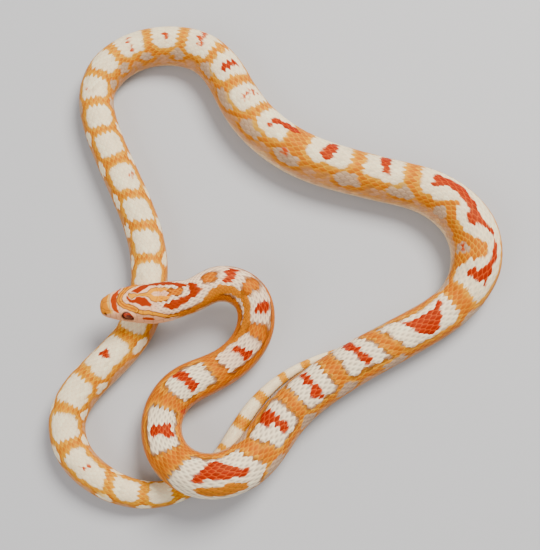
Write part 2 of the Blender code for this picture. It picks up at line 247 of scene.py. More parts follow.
def grid_normals(points):
    """Outward direction at each point of a grid whose first and last columns meet."""
    along = np.gradient(points, axis=0)
    inner = np.concatenate([points[:, -2:-1], points, points[:, 1:2]], 1)
    round_body = inner[:, 2:] - inner[:, :-2]
    normals = np.cross(along, round_body)
    return normals / np.maximum(np.linalg.norm(normals, axis=2, keepdims=True), 1e-9)


# Table of the surface, read between its points for every scale
TABLE_STEP = 0.25
TABLE_HALF = 64
# How far inside the table's last row and column a place is kept
INSIDE = 0.001
TABLE_S = np.arange(0, TAIL_END + TABLE_STEP / 2, TABLE_STEP)
TABLE, _, TABLE_GIRTH = body_grid(TABLE_S, TABLE_HALF + 1)
TABLE_NORMALS = grid_normals(TABLE)


def half_girth(s):
    """Distance round the body from the back to the belly."""
    return np.interp(s, TABLE_S, TABLE_GIRTH)


def surface(s, q, height):
    """Points at a height over the surface; q runs from 0 on the back to 1 or -1 on the belly."""
    row = np.clip(s / TABLE_STEP, 0, len(TABLE_S) - 1 - INSIDE)
    column = np.clip(((q + 1) % 2) * TABLE_HALF, 0, 2 * TABLE_HALF - INSIDE)
    i = row.astype(int)
    j = column.astype(int)
    a = (row - i)[..., None]
    b = (column - j)[..., None]

    def read(table):
        """Value of a table between its points."""
        near = table[i, j] * (1 - b) + table[i, j + 1] * b
        far = table[i + 1, j] * (1 - b) + table[i + 1, j + 1] * b
        return near * (1 - a) + far * a

    return read(TABLE) + read(TABLE_NORMALS) * height[..., None]


# Colours of the scales, and of the skin that shows between them, as 8-bit screen values
WHITE = ((255, 241, 208), (230, 202, 168))
NECK_WHITE = ((250, 218, 188), (255, 238, 210))
FRONT_WHITE = ((252, 236, 208), (255, 242, 218))
GOLD = ((226, 160, 20), (250, 212, 90))
GREY_WHITE = ((198, 168, 140), (150, 112, 88))
LILAC = ((250, 196, 162), (178, 116, 100))
ORANGE = ((194, 103, 0), (224, 146, 0))
REAR_ORANGE = ((196, 108, 0), (238, 182, 24))
FLANK = ((204, 152, 112), (182, 112, 54))
DEEP = ((206, 124, 6), (124, 70, 24))
SNOUT = ((212, 126, 0), (208, 128, 0))
PALE = ((232, 180, 92), (180, 120, 62))
YELLOW = ((236, 154, 0), (228, 142, 2))
RED = ((158, 32, 0), (228, 104, 34))
HEAD_RED = ((156, 44, 0), (162, 52, 0))
BAND_RED = ((174, 56, 0), (174, 56, 0))
FLECK_RED = ((184, 60, 14), (206, 110, 60))
BROWN = (105, 52, 24)
OUTLINE_SHARES = (0.35, 1.0)
CREAM = ((244, 218, 176), (206, 166, 120))
LABIAL = ((228, 160, 116), (166, 100, 68))

# Degrees from the back to the belly, and turn of the markings towards the left side in degrees
HALF_TURN = 180
ROLL = [
    (0, 6), (20, 6), (30, 3), (45, 0), (150, 0), (165, -4), (178, -8), (190, -28), (200, -28),
    (207, -22), (220, -22), (228, -9), (237, -10), (250, -14), (266, -28), (280, -14), (290, -4),
    (300, -3), (312, 6), (335, 5), (345, 5), (360, 8), (375, 12), (385, 4), (400, 0), (412, -5),
    (422, -19), (433, -8), (445, 0), (545, 0),
]
HEAD_ROLL = ROLL[0][1] / HALF_TURN
# Orange bands over the back: start, end, and shift along the body towards the left side
BANDS = [
    (61.1, 64.7, -3.6), (75.5, 79.8, -1), (91.2, 96.8, 4), (115.4, 120.0, -6), (130.3, 134.0, 0),
    (143.4, 147.9, -1), (158.6, 162.8, -9), (180.9, 186.0, 3), (224.6, 228.8, 0), (239.8, 243.8, 0),
    (256.0, 263.0, 0), (272.3, 275.6, 0), (283.4, 286.8, 0), (294.5, 297.4, -3), (305.5, 308.2, 0),
    (315.5, 318.2, 0), (325.9, 328.2, 0), (333.7, 336.0, 0), (342.5, 345.0, -1), (351.7, 354.1, 0),
    (361.3, 364.5, 0), (372.2, 375.1, 4), (381.7, 384.8, 4), (391.3, 394.1, 0), (402.0, 405.0, 0),
    (412.9, 415.9, 0), (426.8, 429.8, 0), (436.8, 439.3, 0), (446.2, 449.0, 0), (460.7, 463.2, -6),
    (469.5, 471.9, 0), (477.7, 480.1, 0), (486.0, 488.3, 0), (493.8, 495.6, 0), (501.0, 504.2, 0),
    (509.7, 512.2, 0), (517.7, 519.7, 0), (524.5, 526.9, 0), (532.3, 534.3, 0), (539.6, 541.2, 0),
]
# How far the white saddles reach down the left and the right side
SADDLE_LEFT = [
    (20, 0.33), (45, 0.3), (58, 0.23), (70, 0.26), (86, 0.27), (105, 0.23), (122, 0.25),
    (139, 0.38), (148, 0.44), (150, 0.5), (153, 0.5), (155, 0.4), (158, 0.36), (165, 0.25),
    (172, 0.2), (178, 0.25), (190, 0.28), (206, 0.21), (220, 0.17), (232, 0.15), (250, 0.13),
    (268, 0.13), (279, 0.17), (290, 0.2), (301, 0.21), (322, 0.2), (331, 0.22), (340, 0.28),
    (368, 0.28), (390, 0.28), (408, 0.23), (421, 0.21), (433, 0.25), (443, 0.27), (454, 0.23),
    (466, 0.28), (475, 0.34), (490, 0.4), (545, 0.5),
]
SADDLE_RIGHT = [
    (20, -0.4), (58, -0.21), (86, -0.22), (95, -0.24), (98, -0.4), (101, -0.56), (110, -0.56),
    (113, -0.42), (116, -0.23), (139, -0.22), (152, -0.2), (165, -0.24), (172, -0.27), (178, -0.24),
    (186, -0.3), (196, -0.31), (206, -0.3), (212, -0.33), (232, -0.33), (250, -0.36), (268, -0.4),
    (279, -0.36), (290, -0.34), (301, -0.34), (322, -0.33), (331, -0.29), (338, -0.24),
    (345, -0.22), (368, -0.19), (390, -0.2), (408, -0.28), (421, -0.33), (433, -0.28), (443, -0.22),
    (454, -0.18), (466, -0.2), (475, -0.25), (490, -0.35), (545, -0.45),
]
# Orange that reaches up from the sides into the white, as outlines in distance and q
ORANGE_SHAPES = [
    (REAR_ORANGE, [(191, 0.32), (192, 0.2), (194.2, 0.12), (195, 0.0), (196.5, -0.07),
        (198.7, -0.06), (199.8, 0.0), (201, 0.08), (203.5, 0.16), (205, 0.24), (205, 0.32)]),
    (REAR_ORANGE, [(207.5, 0.24), (209, 0.18), (211, 0.12), (212.5, 0.04), (214.3, 0.05),
        (216, 0.12), (218.5, 0.18), (220, 0.24)]),
    (DEEP, [(101.2, -0.24), (103, -0.19), (104.6, -0.155), (107.4, -0.155), (110, -0.19),
        (111.8, -0.25), (111.6, -0.3), (110.2, -0.35), (107, -0.365), (103.8, -0.36), (102, -0.3)]),
    (DEEP, [(17.6, -0.43), (19.7, -0.45), (21.9, -0.41), (24.9, -0.35), (26, -0.3), (28, -0.23),
        (31, -0.16), (36, -0.12), (40, -0.09), (47, -0.07), (51, -0.1), (54, -0.18), (58, -0.21),
        (62, -0.2), (62, -0.3), (52, -0.24), (42, -0.22), (36, -0.27), (30, -0.37), (26, -0.52),
        (21.6, -0.58), (17.6, -0.5)]),
]
# Orange ovals of the neck: middle, q, half length and half height in q
OVALS = [(29.2, 0.02, 1.75, 0.11), (38.8, 0.06, 1.5, 0.19), (49.1, 0.09, 1.85, 0.2)]
# Red marks, as outlines in distance and q
RED_SHAPES = [
    [(33.4, 0.2), (34.8, 0.21), (35, 0.1), (34.8, 0), (34.4, -0.07), (33, -0.1), (31.9, -0.09),
     (32.6, -0.03), (33.3, 0.03), (32.9, 0.1)],
    [(42.6, 0.2), (43.6, 0.26), (44.3, 0.2), (44.9, 0.05), (44.8, -0.02), (43.6, -0.02),
     (43, 0.08)],
    [(53.7, 0.2), (55.6, 0.2), (55.9, 0.1), (56.1, 0), (57.2, -0.06), (57, -0.12), (55.4, -0.11),
     (54.9, -0.03), (54.3, 0.08)],
    [(68, 0.12), (68.9, 0.18), (70.7, 0.18), (71.4, 0.08), (71.2, 0), (72.3, -0.1), (73, -0.19),
     (71, -0.2), (69.8, -0.13), (69.6, 0), (68.6, 0.07)],
    [(84, 0.16), (85.5, 0.2), (88.3, 0.2), (87.8, 0.12), (86.8, 0.04), (86.3, -0.04), (86.9, -0.1),
     (86.2, -0.15), (84.4, -0.11), (84.8, 0), (84.1, 0.06)],
    [(100.8, -0.11), (101.1, -0.02), (101.9, 0.06), (103, 0.13), (104.8, 0.18), (106.3, 0.17),
     (107.9, 0.13), (109.5, 0.07), (110.9, -0.01), (112, -0.07), (113.2, -0.09), (112.8, -0.14),
     (111, -0.12), (109, -0.09), (106, -0.08), (103.4, -0.08), (101.8, -0.12)],
    [(123.6, 0.22), (125.5, 0.27), (127.6, 0.22), (127.2, 0.08), (126.6, 0), (127.4, -0.08),
     (126.8, -0.17), (124.8, -0.16), (125, -0.06), (125.2, 0.04), (123.9, 0.1)],
    [(137.9, 0.32), (139.2, 0.3), (139.6, 0.14), (138.9, 0.05), (139.9, -0.03), (140.1, -0.1),
     (138.8, -0.16), (137.3, -0.14), (136.8, -0.06), (138, 0.04), (137.6, 0.14)],
    [(150.4, 0.4), (153, 0.4), (153.6, 0.2), (153.9, 0.05), (155.2, -0.04), (155, -0.11),
     (153.8, -0.15), (152.6, -0.1), (152.4, 0.02), (151.2, 0.18)],
    [(166.5, 0.19), (168.3, 0.13), (170.6, 0.1), (173.6, 0.1), (176.5, 0.12), (179.2, 0.18),
     (178.6, 0.1), (176.8, 0.02), (175.8, -0.08), (174.5, -0.16), (172.8, -0.19), (170.6, -0.17),
     (169.2, -0.08), (168.2, 0.02), (167.6, 0.1)],
    [(189.7, 0.16), (191.2, 0.1), (191.8, 0), (193, -0.08), (195, -0.12), (197, -0.15),
     (200, -0.17), (200, -0.22), (197, -0.22), (194, -0.18), (191, -0.19), (189.4, -0.21),
     (189.8, -0.08), (190, 0.04)],
    [(201, -0.16), (203, -0.09), (204.3, 0), (205.7, 0.09), (207, 0.07), (208.6, -0.01),
     (210.5, -0.06), (213, -0.07), (217, -0.06), (219.3, 0), (220.8, 0.03), (220.8, -0.2),
     (218, -0.21), (214, -0.21), (211, -0.16), (208.5, -0.1), (206, -0.08), (204, -0.1),
     (202, -0.17)],
    [(232.8, 0.04), (234.5, 0.02), (235, -0.1), (236, -0.2), (235.5, -0.3), (233, -0.3),
     (233.3, -0.12)],
    [(249.6, 0.09), (251.2, 0.07), (252.3, -0.01), (251.6, -0.1), (250.6, -0.2), (249.5, -0.28),
     (247.6, -0.28), (248, -0.15), (249, -0.05)],
    [(258.6, -0.18), (260.1, -0.15), (262, -0.13), (264.9, -0.11), (266.9, -0.08), (268, -0.05),
     (268.3, 0.01), (269, 0), (269, -0.1), (268.5, -0.16), (267.5, -0.2), (264.3, -0.23),
     (261, -0.22), (258.6, -0.2)],
    [(289.4, 0.09), (291, 0.09), (291.6, 0.02), (291, -0.06), (291.6, -0.19), (289.9, -0.2),
     (290, -0.08), (289.3, -0.02)],
    [(422.5, -0.18), (421.2, -0.13), (420.1, -0.13), (419.8, -0.07), (420.7, -0.03), (421, 0.02),
     (421.2, 0.08), (421.8, 0.04), (421.9, -0.03), (422.4, -0.08)],
]
# Faint and small red marks: middle, q, half length and half height in q
RED_FLECKS = [
    (279.1, -0.03, 1.1, 0.07), (279.6, -0.17, 1.1, 0.06), (301.3, 0.0, 0.8, 0.07),
    (302.1, -0.18, 0.8, 0.12), (311.8, 0.01, 0.6, 0.08), (322.3, 0.05, 0.6, 0.1),
    (322.0, -0.08, 0.5, 0.05), (339.8, -0.11, 0.4, 0.04), (368.6, 0.17, 0.6, 0.05),
    (453.5, -0.01, 0.6, 0.03), (454.8, 0.03, 0.5, 0.04), (455.3, 0.09, 0.5, 0.04),
    (261.0, 0.23, 0.9, 0.04), (198.2, 0.25, 1.1, 0.04), (78.0, 0.35, 1.2, 0.05),
]
# Markings of the head, as outlines in distance and q, in the order in which they are laid
HEAD_SHAPES = [
    (PALE, [(2.7, 0.36), (2.8, 0.25), (2.6, 0.1), (2.6, -0.04), (2.9, -0.18), (3.4, -0.27),
        (3.4, -0.34), (1.0, -0.4), (1.0, 0.4)]),
    (SNOUT, [(-1, 0.6), (2.2, 0.42), (2.4, 0.3), (2.2, 0.22), (2.0, 0.13), (1.9, -0.02),
        (2.2, -0.17), (2.7, -0.26), (2.9, -0.31), (1.6, -0.4), (0.5, -0.5), (-1, -0.6)]),
    (BAND_RED, [(5.2, 0.4), (4.6, 0.3), (4, 0.24), (3.4, 0.21), (3.1, 0.13), (3, 0.03),
        (3.1, -0.08), (3.3, -0.18), (3.9, -0.27), (4.6, -0.31), (5.5, -0.34), (5.2, -0.31),
        (4.9, -0.26), (4.7, -0.19), (4.5, -0.11), (4.5, -0.02), (4.6, 0.07), (4.8, 0.14), (5, 0.21),
        (5.3, 0.31), (5.6, 0.38)]),
    (LILAC, [(6.3, 0.08), (7, 0.1), (7.7, 0.1), (7.4, 0.06), (6.9, 0.03), (6.8, -0.02),
        (7.2, -0.07), (7.6, -0.09), (7.2, -0.11), (6.5, -0.07), (6.1, 0)]),
    (YELLOW, [(7.6, 0.05), (7.7, 0.1), (8.4, 0.07), (9.2, 0.08), (10.3, 0.062), (11.2, 0.066),
        (12.5, 0.07), (12.9, 0.1), (13.4, 0.15), (14.9, 0.17), (16.7, 0.14), (18.2, 0.085),
        (19.9, 0.055), (21.2, 0.04), (21.7, -0.015), (21.4, -0.06), (20.7, -0.085), (19.4, -0.07),
        (18.1, -0.08), (17.4, -0.125), (16.3, -0.14), (14.7, -0.12), (13.6, -0.085), (13, -0.03),
        (12.5, 0), (11.2, 0.01), (9.9, 0.018), (8.9, -0.01), (8.5, -0.035), (8, 0.007)]),
    (LILAC, [(13.3, 0.04), (14.1, 0.072), (15.7, 0.064), (17.3, 0.03), (18.1, -0.016),
        (17.5, -0.046), (16, -0.036), (14.3, -0.006)]),
    (ORANGE, [(18, 0.06), (19.9, 0.055), (21.2, 0.04), (21.7, -0.015), (21.4, -0.06),
        (20.7, -0.085), (19.4, -0.07), (18, -0.08), (17.9, -0.05), (18.4, -0.016), (18.2, 0.03)]),
    (HEAD_RED, [(7.1, 0.055), (7.5, 0.03), (7.8, -0.02), (8.5, -0.055), (9.3, -0.04), (9.7, -0.005),
        (10.8, -0.01), (11.9, -0.025), (12.5, -0.055), (12.9, -0.105), (13.6, -0.165), (13.2, -0.2),
        (12.2, -0.19), (11.3, -0.195), (10.5, -0.155), (9.6, -0.125), (8.8, -0.12), (8.1, -0.105),
        (7.5, -0.065), (7.1, -0.015)]),
    (HEAD_RED, [(8.1, 0.117), (8.5, 0.164), (9.3, 0.2), (10.2, 0.268), (11.3, 0.3), (12.8, 0.31),
        (14.7, 0.35), (16.8, 0.356), (18.7, 0.293), (20.4, 0.213), (22.1, 0.129), (24.3, 0.1),
        (25.7, 0.048), (25.6, -0.044), (26.3, -0.147), (25, -0.168), (24.6, -0.186), (23, -0.212),
        (21.9, -0.251), (21.2, -0.285), (20.1, -0.303), (19.1, -0.337), (18.3, -0.32), (17, -0.281),
        (16.1, -0.24), (15.9, -0.214), (16.6, -0.187), (17.7, -0.16), (18.4, -0.132),
        (19.4, -0.166), (20.5, -0.162), (21.8, -0.137), (22.7, -0.122), (23.4, -0.071),
        (23.4, 0.001), (23.1, 0.053), (22, 0.08), (20.8, 0.09), (19.8, 0.12), (18.1, 0.18),
        (16.3, 0.21), (14.3, 0.235), (12.7, 0.23), (12.4, 0.2), (11.9, 0.166), (11.1, 0.133),
        (10.3, 0.085), (9.9, 0.06), (9.2, 0.1), (8.5, 0.13)]),
    (BAND_RED, [(11.2, -0.407), (12.1, -0.382), (13.2, -0.4), (14.2, -0.44), (13.6, -0.464),
        (12.3, -0.462), (11.4, -0.446)]),
]
# Yellow arc over the forehead and along both sides, in distance and q
ARC_FRONT = [
    (9.6, 0.37), (8.2, 0.305), (7.1, 0.255), (6.3, 0.18), (5.8, 0.125), (5.4, 0.04), (5.4, -0.035),
    (5.8, -0.11), (6.7, -0.175), (7.9, -0.205), (9, -0.235), (9.8, -0.262),
]
ARC_REAR = [
    (9, -0.24), (10.1, -0.275), (11.3, -0.3), (12.9, -0.305), (14.4, -0.335), (15.8, -0.38),
    (17.2, -0.425), (19, -0.45),
]
ARC_FAR = [(9.3, 0.36), (12, 0.41), (14.5, 0.45), (17, 0.48), (19.5, 0.48)]
# Half width, colours and path of each band, in the order in which they are laid
HEAD_LINES = [
    (0.42, YELLOW, ARC_REAR), (0.42, YELLOW, ARC_FAR), (0.6, YELLOW, ARC_FRONT),
    (0.24, ORANGE, ARC_FRONT),
]
# End of the head's markings, and start of the body's, which blend with them
HEAD_END = 27.0
BODY_START = 18
# Distance or depth for places out of a shape's reach, and how far round a shape it is worked out
OUT_OF_REACH = 9.0
SHAPE_MARGIN = 2


def outline_depth(s, q, outline):
    """Distance inside an outline, in mm along the skin, negative outside it."""
    corners = np.array(outline, dtype=float)
    girth = half_girth(corners[:, 0].mean())
    corners[:, 1] *= girth
    depth = np.full(s.shape, -OUT_OF_REACH)
    first = corners[:, 0].min() - SHAPE_MARGIN
    last = corners[:, 0].max() + SHAPE_MARGIN
    near = (s > first) & (s < last)
    here = s[near]
    y = q[near] * girth
    nearest = np.full(here.shape, OUT_OF_REACH)
    inside = np.zeros(here.shape, dtype=bool)
    for (s0, y0), (s1, y1) in zip(corners, np.roll(corners, -1, 0)):
        nearest = np.minimum(nearest, line_distance(here, y, s0, y0, s1, y1))
        if y0 != y1:
            crossing = s0 + (y - y0) * (s1 - s0) / (y1 - y0)
            inside ^= ((y0 > y) != (y1 > y)) & (here < crossing)
    depth[near] = np.where(inside, nearest, -nearest)
    return depth


def line_distance(s, y, s0, y0, s1, y1):
    """Distance from a straight piece between two points."""
    span = (s1 - s0) ** 2 + (y1 - y0) ** 2
    t = np.clip(((s - s0) * (s1 - s0) + (y - y0) * (y1 - y0)) / span, 0, 1)
    return np.hypot(s - s0 - t * (s1 - s0), y - y0 - t * (y1 - y0))


def path_distance(s, y, path, girth):
    """Distance from a path given in distance and q."""
    nearest = np.full(s.shape, np.inf)
    for (s0, q0), (s1, q1) in zip(path, path[1:]):
        nearest = np.minimum(nearest, line_distance(s, y, s0, q0 * girth, s1, q1 * girth))
    return nearest


def rounded(s, q, mid_s, mid_q, half_s, half_q, girth, power):
    """Depth inside a rounded shape, in mm along the skin."""
    value = np.abs((s - mid_s) / half_s) ** power + np.abs((q - mid_q) / half_q) ** power
    return (1 - value ** (1 / power)) * np.minimum(half_s, half_q * girth)


# Size of the white saddles' round corners along the body
CORNERS = [(60, 0.9), (180, 1.2), (240, 2.4), (330, 2.2), (450, 1.6), (500, 0.8), (545, 0.3)]
# Width of the orange stripe under the saddles, and half length and half height of the pale
# blotches under the bands
STRIPE = [(150, 2.0), (230, 2.4), (300, 1.8), (420, 1.1), (545, 0.6)]
BLOTCH_LENGTH = [
    (110, 3.2), (180, 3.3), (250, 3.8), (285, 3.4), (310, 2.2), (345, 2.0), (420, 2.2), (545, 1.2),
]
BLOTCH_HEIGHT = [(110, 1.8), (250, 2.2), (285, 2.1), (310, 1.5), (545, 1.0)]
# How far the left blotches lie behind the middles of the bands, and how far they are raised
BLOTCH_SHIFT = [
    (215, 0), (226, 2), (242, 1.5), (260, 0.4), (272, -2.5), (290, -2.8), (297, -2.1), (307, 0.4),
    (317, 1.5), (330, 0.8), (345, 0),
]
BLOTCH_RISE = [
    (215, 0), (226, 1.1), (242, 0.1), (262, 0.1), (272, 1), (296, 1.2), (307, 0.3), (317, 0),
]
# Blotches beside the long saddle: middle, q, half length and half height
LONE_BLOTCHES = [(214.6, 0.285, 2.5, 1.8), (198.4, 0.255, 2.3, 2.0)]
# Gap between a saddle and a blotch, reach of a blotch, where blotches begin and turn white
BLOTCH_GAP = 0.5
BLOTCH_REACH = 9
BLOTCHES_FROM = (104, 116)
GREY_END = 345
# Orange ring round a blotch
RING_WIDTH = 1.2
RING_BLUR = 0.4
RING_STRENGTH = 0.8
# Ends of the first and last saddle, how far the first runs on over the neck, and the least corner
FIRST_SADDLE = 58.0
LAST_SADDLE = 544.5
NECK_RUN = 60
LEAST_CORNER = 0.3
# Where the saddles' white changes
FRONT_END = 170
# Gold beside the saddles: strength, depths over which it fades, and where it begins
GOLD_STRENGTH = 0.75
GOLD_REACH = (-1.5, -0.3)
GOLD_FROM = (60, 66)
# Brown line round the saddles: strength, blur, and how much it fades and where
SADDLE_LINE = 1.6
SADDLE_LINE_BLUR = (0.15, 0.5)
SADDLE_LINE_FADE = 0.85
SADDLE_LINE_END = (150, 190)
# Brown line round the ovals, and how square they are
OVAL_LINE_BLUR = (0.15, 0.45)
OVAL_POWER = 2.6
# Where the orange turns paler
PALER = (165, 250)
# Edge of the flanks, their speckles, and the wavy edge of the cream belly
STRIPE_BLUR = 0.9
SPECKLE_STRENGTH = 0.4
SPECKLE_RANGE = (-0.1, 0.6)
BELLY_EDGE = (0.5, 0.7)
BELLY_WAVE = 0.05
# How far the red reaches over its outlines
RED_SPREAD = 0.15
# Dotted flecks: how much larger they are drawn, their edge, and the noise that shows as dots
FLECK_SPREAD = 1.3
FLECK_EDGE = (-0.1, 0.2)
DOT_RANGE = (-0.45, 0.15)
# Size and seed of the soft noises
SPECKLES = (1.3, 3)
DOTS = (0.55, 11)
WAVES = (0.8, 5)
# Points of the noise, and where it begins
LATTICE = (1024, 64)
LATTICE_START = (40, 30)
# Softness of the markings' edges on the skin and on the scales
SKIN_SOFTNESS = 0.12
SCALE_SOFTNESS = 0.1
# Base colours of the head: where the nape's white begins, the lips, and the chin
NAPE_FROM = (13, 17)
LIP_STRENGTH = 0.7
LIP_EDGE = (0.3, 0.42)
LIP_END = (16, 20)
CHIN_EDGE = (0.62, 0.7)
# Waves of the head's markings, the brown line round them, and the pale rim round the red
WAVE_DEPTH = 0.12
HEAD_LINE = 2.8
HEAD_LINE_WIDTH = 0.2
RED_RIM = 0.7
RED_RIM_WIDTH = 0.25
# Where the body's colours take over from the head's, behind it and on its sides
NAPE_BLEND = (25.5, 27)
SIDE_BLEND = (18, 20)
SIDE_BLEND_EDGE = (0.27, 0.33)


def box_depth(s, q, mid_s, mid_q, half_s, half_q, girth, corner):
    """Depth inside a box with round corners, in mm along the skin, up to the corners' size."""
    short_s = np.maximum(corner - half_s + np.abs(s - mid_s), 0)
    short_q = np.maximum(corner - (half_q - np.abs(q - mid_q)) * girth, 0)
    return corner - np.hypot(short_s, short_q)


class Paint:
    """Colour of the scales and of the skin between them at many places."""

    def __init__(self, count, colours):
        """Starts with one pair of colours everywhere."""
        self.layers = np.tile(np.array(colours, dtype=float)[None] / 255, (count, 1, 1))

    def lay(self, amount, colours):
        """Lays a pair of colours over what is there."""
        new = np.array(colours, dtype=float)[None] / 255
        self.layers += (new - self.layers) * np.asarray(amount)[:, None, None]

    def outline(self, amount):
        """Brown line, strong between the scales and weak on them."""
        amount = np.clip(np.asarray(amount)[:, None] * np.array(OUTLINE_SHARES)[None], 0, 1)
        self.layers += (np.array(BROWN) / 255 - self.layers) * amount[..., None]


def smooth_noise(s, y, size, seed):
    """Soft noise over the unrolled skin, between -1 and 1."""
    rows, columns = LATTICE
    lattice = np.random.default_rng(seed).uniform(-1, 1, LATTICE)
    a = s / size + LATTICE_START[0]
    b = y / size + LATTICE_START[1]
    i = np.floor(a).astype(int)
    j = np.floor(b).astype(int)
    u = ramp(0, 1, a - i)
    v = ramp(0, 1, b - j)

    def read(i):
        """Noise along one row of the lattice."""
        return lattice[i % rows, j % columns] * (1 - v) + lattice[i % rows, (j + 1) % columns] * v

    return read(i) * (1 - u) + read(i + 1) * u


def lay_blotches(paint, s, q, girth, edges, soft):
    """Pale blotches in orange rings, under the bands on both sides."""
    for start, end, _ in BANDS:
        middle = (start + end) / 2
        near = (np.abs(s - middle) < BLOTCH_REACH) * ramp(*BLOTCHES_FROM, middle)
        half_s = float(table_value(BLOTCH_LENGTH, middle))
        half_q = float(table_value(BLOTCH_HEIGHT, middle)) / girth
        colours = GREY_WHITE if middle < GREY_END else WHITE
        for edge, direction in zip(edges, (1, -1)):
            left = direction > 0
            rise = table_value(BLOTCH_RISE, middle) * left
            mid_q = edge + direction * (half_q + (BLOTCH_GAP - rise) / girth)
            mid_s = middle + table_value(BLOTCH_SHIFT, middle) * left
            ring_q = half_q + RING_WIDTH / girth
            ring = rounded(s, q, mid_s, mid_q, half_s + RING_WIDTH, ring_q, girth, 2)
            paint.lay(RING_STRENGTH * ramp(-RING_BLUR, RING_BLUR, ring) * near, REAR_ORANGE)
            depth = rounded(s, q, mid_s, mid_q, half_s, half_q, girth, 2)
            paint.lay(ramp(-soft, soft, depth) * near, colours)


def lay_saddles(paint, s, q, girth, edges, soft):
    """White saddles between the bands, with gold beside them and a brown line round them."""
    left_edge, right_edge = edges
    mid_q = (left_edge + right_edge) / 2
    half_q = (left_edge - right_edge) / 2
    ends = [(FIRST_SADDLE, 0)]
    for start, end, slant in BANDS:
        ends += [(start, slant), (end, slant)]
    ends.append((LAST_SADDLE, 0))
    saddles = []
    for (start, slant0), (end, slant1) in zip(ends[::2], ends[1::2]):
        on_neck = start == FIRST_SADDLE
        from_s = start + slant0 * q - NECK_RUN * on_neck
        to_s = end + slant1 * q
        half_s = (to_s - from_s) / 2
        corner = np.minimum(table_value(CORNERS, s), np.maximum(half_s, LEAST_CORNER))
        depth = box_depth(s, q, (from_s + to_s) / 2, mid_q, half_s, half_q, girth, corner)
        colours = NECK_WHITE if on_neck else FRONT_WHITE if start < FRONT_END else WHITE
        saddles.append((depth, colours))
    beside = np.max([depth for depth, _ in saddles], 0)
    nearest_edge = np.min([np.abs(depth) for depth, _ in saddles], 0)
    paint.lay(GOLD_STRENGTH * ramp(*GOLD_REACH, beside) * ramp(*GOLD_FROM, s), GOLD)
    for depth, colours in saddles:
        paint.lay(ramp(-soft, soft, depth), colours)
    line = SADDLE_LINE * (1 - ramp(*SADDLE_LINE_BLUR, nearest_edge))
    paint.outline(line * (1 - SADDLE_LINE_FADE * ramp(*SADDLE_LINE_END, s)))


def body_colours(s, q, soft):
    """Colours of body scales and of the skin between them, at places behind the head."""
    girth = half_girth(s)
    y = q * girth
    turned = q - table_value(ROLL, s) / HALF_TURN
    edges = (table_value(SADDLE_LEFT, s), table_value(SADDLE_RIGHT, s))
    beyond = np.maximum(q - edges[0], edges[1] - q) * girth
    paint = Paint(len(s), ORANGE)
    paint.lay(ramp(*PALER, s), REAR_ORANGE)
    speckle = smooth_noise(s, y, *SPECKLES)
    stripe = table_value(STRIPE, s)
    flank = ramp(stripe, stripe + STRIPE_BLUR, beyond)
    paint.lay(flank * (1 - SPECKLE_STRENGTH * ramp(*SPECKLE_RANGE, speckle)), FLANK)
    lay_blotches(paint, s, q, girth, edges, soft)
    paint.lay(ramp(*BELLY_EDGE, np.abs(turned) + BELLY_WAVE * speckle), CREAM)
    lay_saddles(paint, s, q, girth, edges, soft)
    for colours, shape in ORANGE_SHAPES:
        paint.lay(ramp(-soft, soft, outline_depth(s, q, shape)), colours)
    for mid_s, mid_q, half_s, height in LONE_BLOTCHES:
        depth = rounded(s, q, mid_s, mid_q, half_s, height / girth, girth, 2)
        paint.lay(ramp(-soft, soft, depth), GREY_WHITE)
    for mid_s, mid_q, half_s, half_q in OVALS:
        depth = rounded(s, q, mid_s, mid_q, half_s, half_q, girth, OVAL_POWER)
        paint.lay(ramp(-soft, soft, depth), ORANGE)
        paint.outline(1 - ramp(*OVAL_LINE_BLUR, np.abs(depth)))
    for shape in RED_SHAPES:
        paint.lay(ramp(-soft, soft, outline_depth(s, q, shape) + RED_SPREAD), RED)
    dots = ramp(*DOT_RANGE, smooth_noise(s, y, *DOTS))
    for mid_s, mid_q, half_s, half_q in RED_FLECKS:
        wide_s = half_s * FLECK_SPREAD
        wide_q = half_q * FLECK_SPREAD
        depth = rounded(s, q, mid_s, mid_q, wide_s, wide_q, girth, 2)
        paint.lay(ramp(*FLECK_EDGE, depth) * dots, FLECK_RED)
    return paint.layers


def head_colours(s, q, soft):
    """Colours of the head's shields and of the scales behind them."""
    girth = half_girth(s)
    y = q * girth
    side = np.abs(q - HEAD_ROLL)
    wave = WAVE_DEPTH * smooth_noise(s, y, *WAVES)
    paint = Paint(len(s), LILAC)
    paint.lay(ramp(*NAPE_FROM, s), NECK_WHITE)
    paint.lay(LIP_STRENGTH * ramp(*LIP_EDGE, side) * (1 - ramp(*LIP_END, s)), LABIAL)
    paint.lay(ramp(*CHIN_EDGE, side), CREAM)

    def blend(depth):
        """Share of a marking, with its edge in waves."""
        return ramp(-soft, soft, depth + wave)

    for half_width, colours, path in HEAD_LINES:
        away = path_distance(s, y, path, girth)
        if colours is YELLOW:
            paint.outline(HEAD_LINE * blend(half_width + HEAD_LINE_WIDTH - away))
        paint.lay(blend(half_width - away), colours)
    for colours, shape in HEAD_SHAPES:
        depth = outline_depth(s, q, shape)
        if colours in (YELLOW, ORANGE):
            paint.outline(HEAD_LINE * blend(depth + HEAD_LINE_WIDTH))
        if colours is HEAD_RED:
            paint.lay(RED_RIM * blend(depth + RED_RIM_WIDTH), NECK_WHITE)
        paint.lay(blend(depth), colours)
    return paint.layers


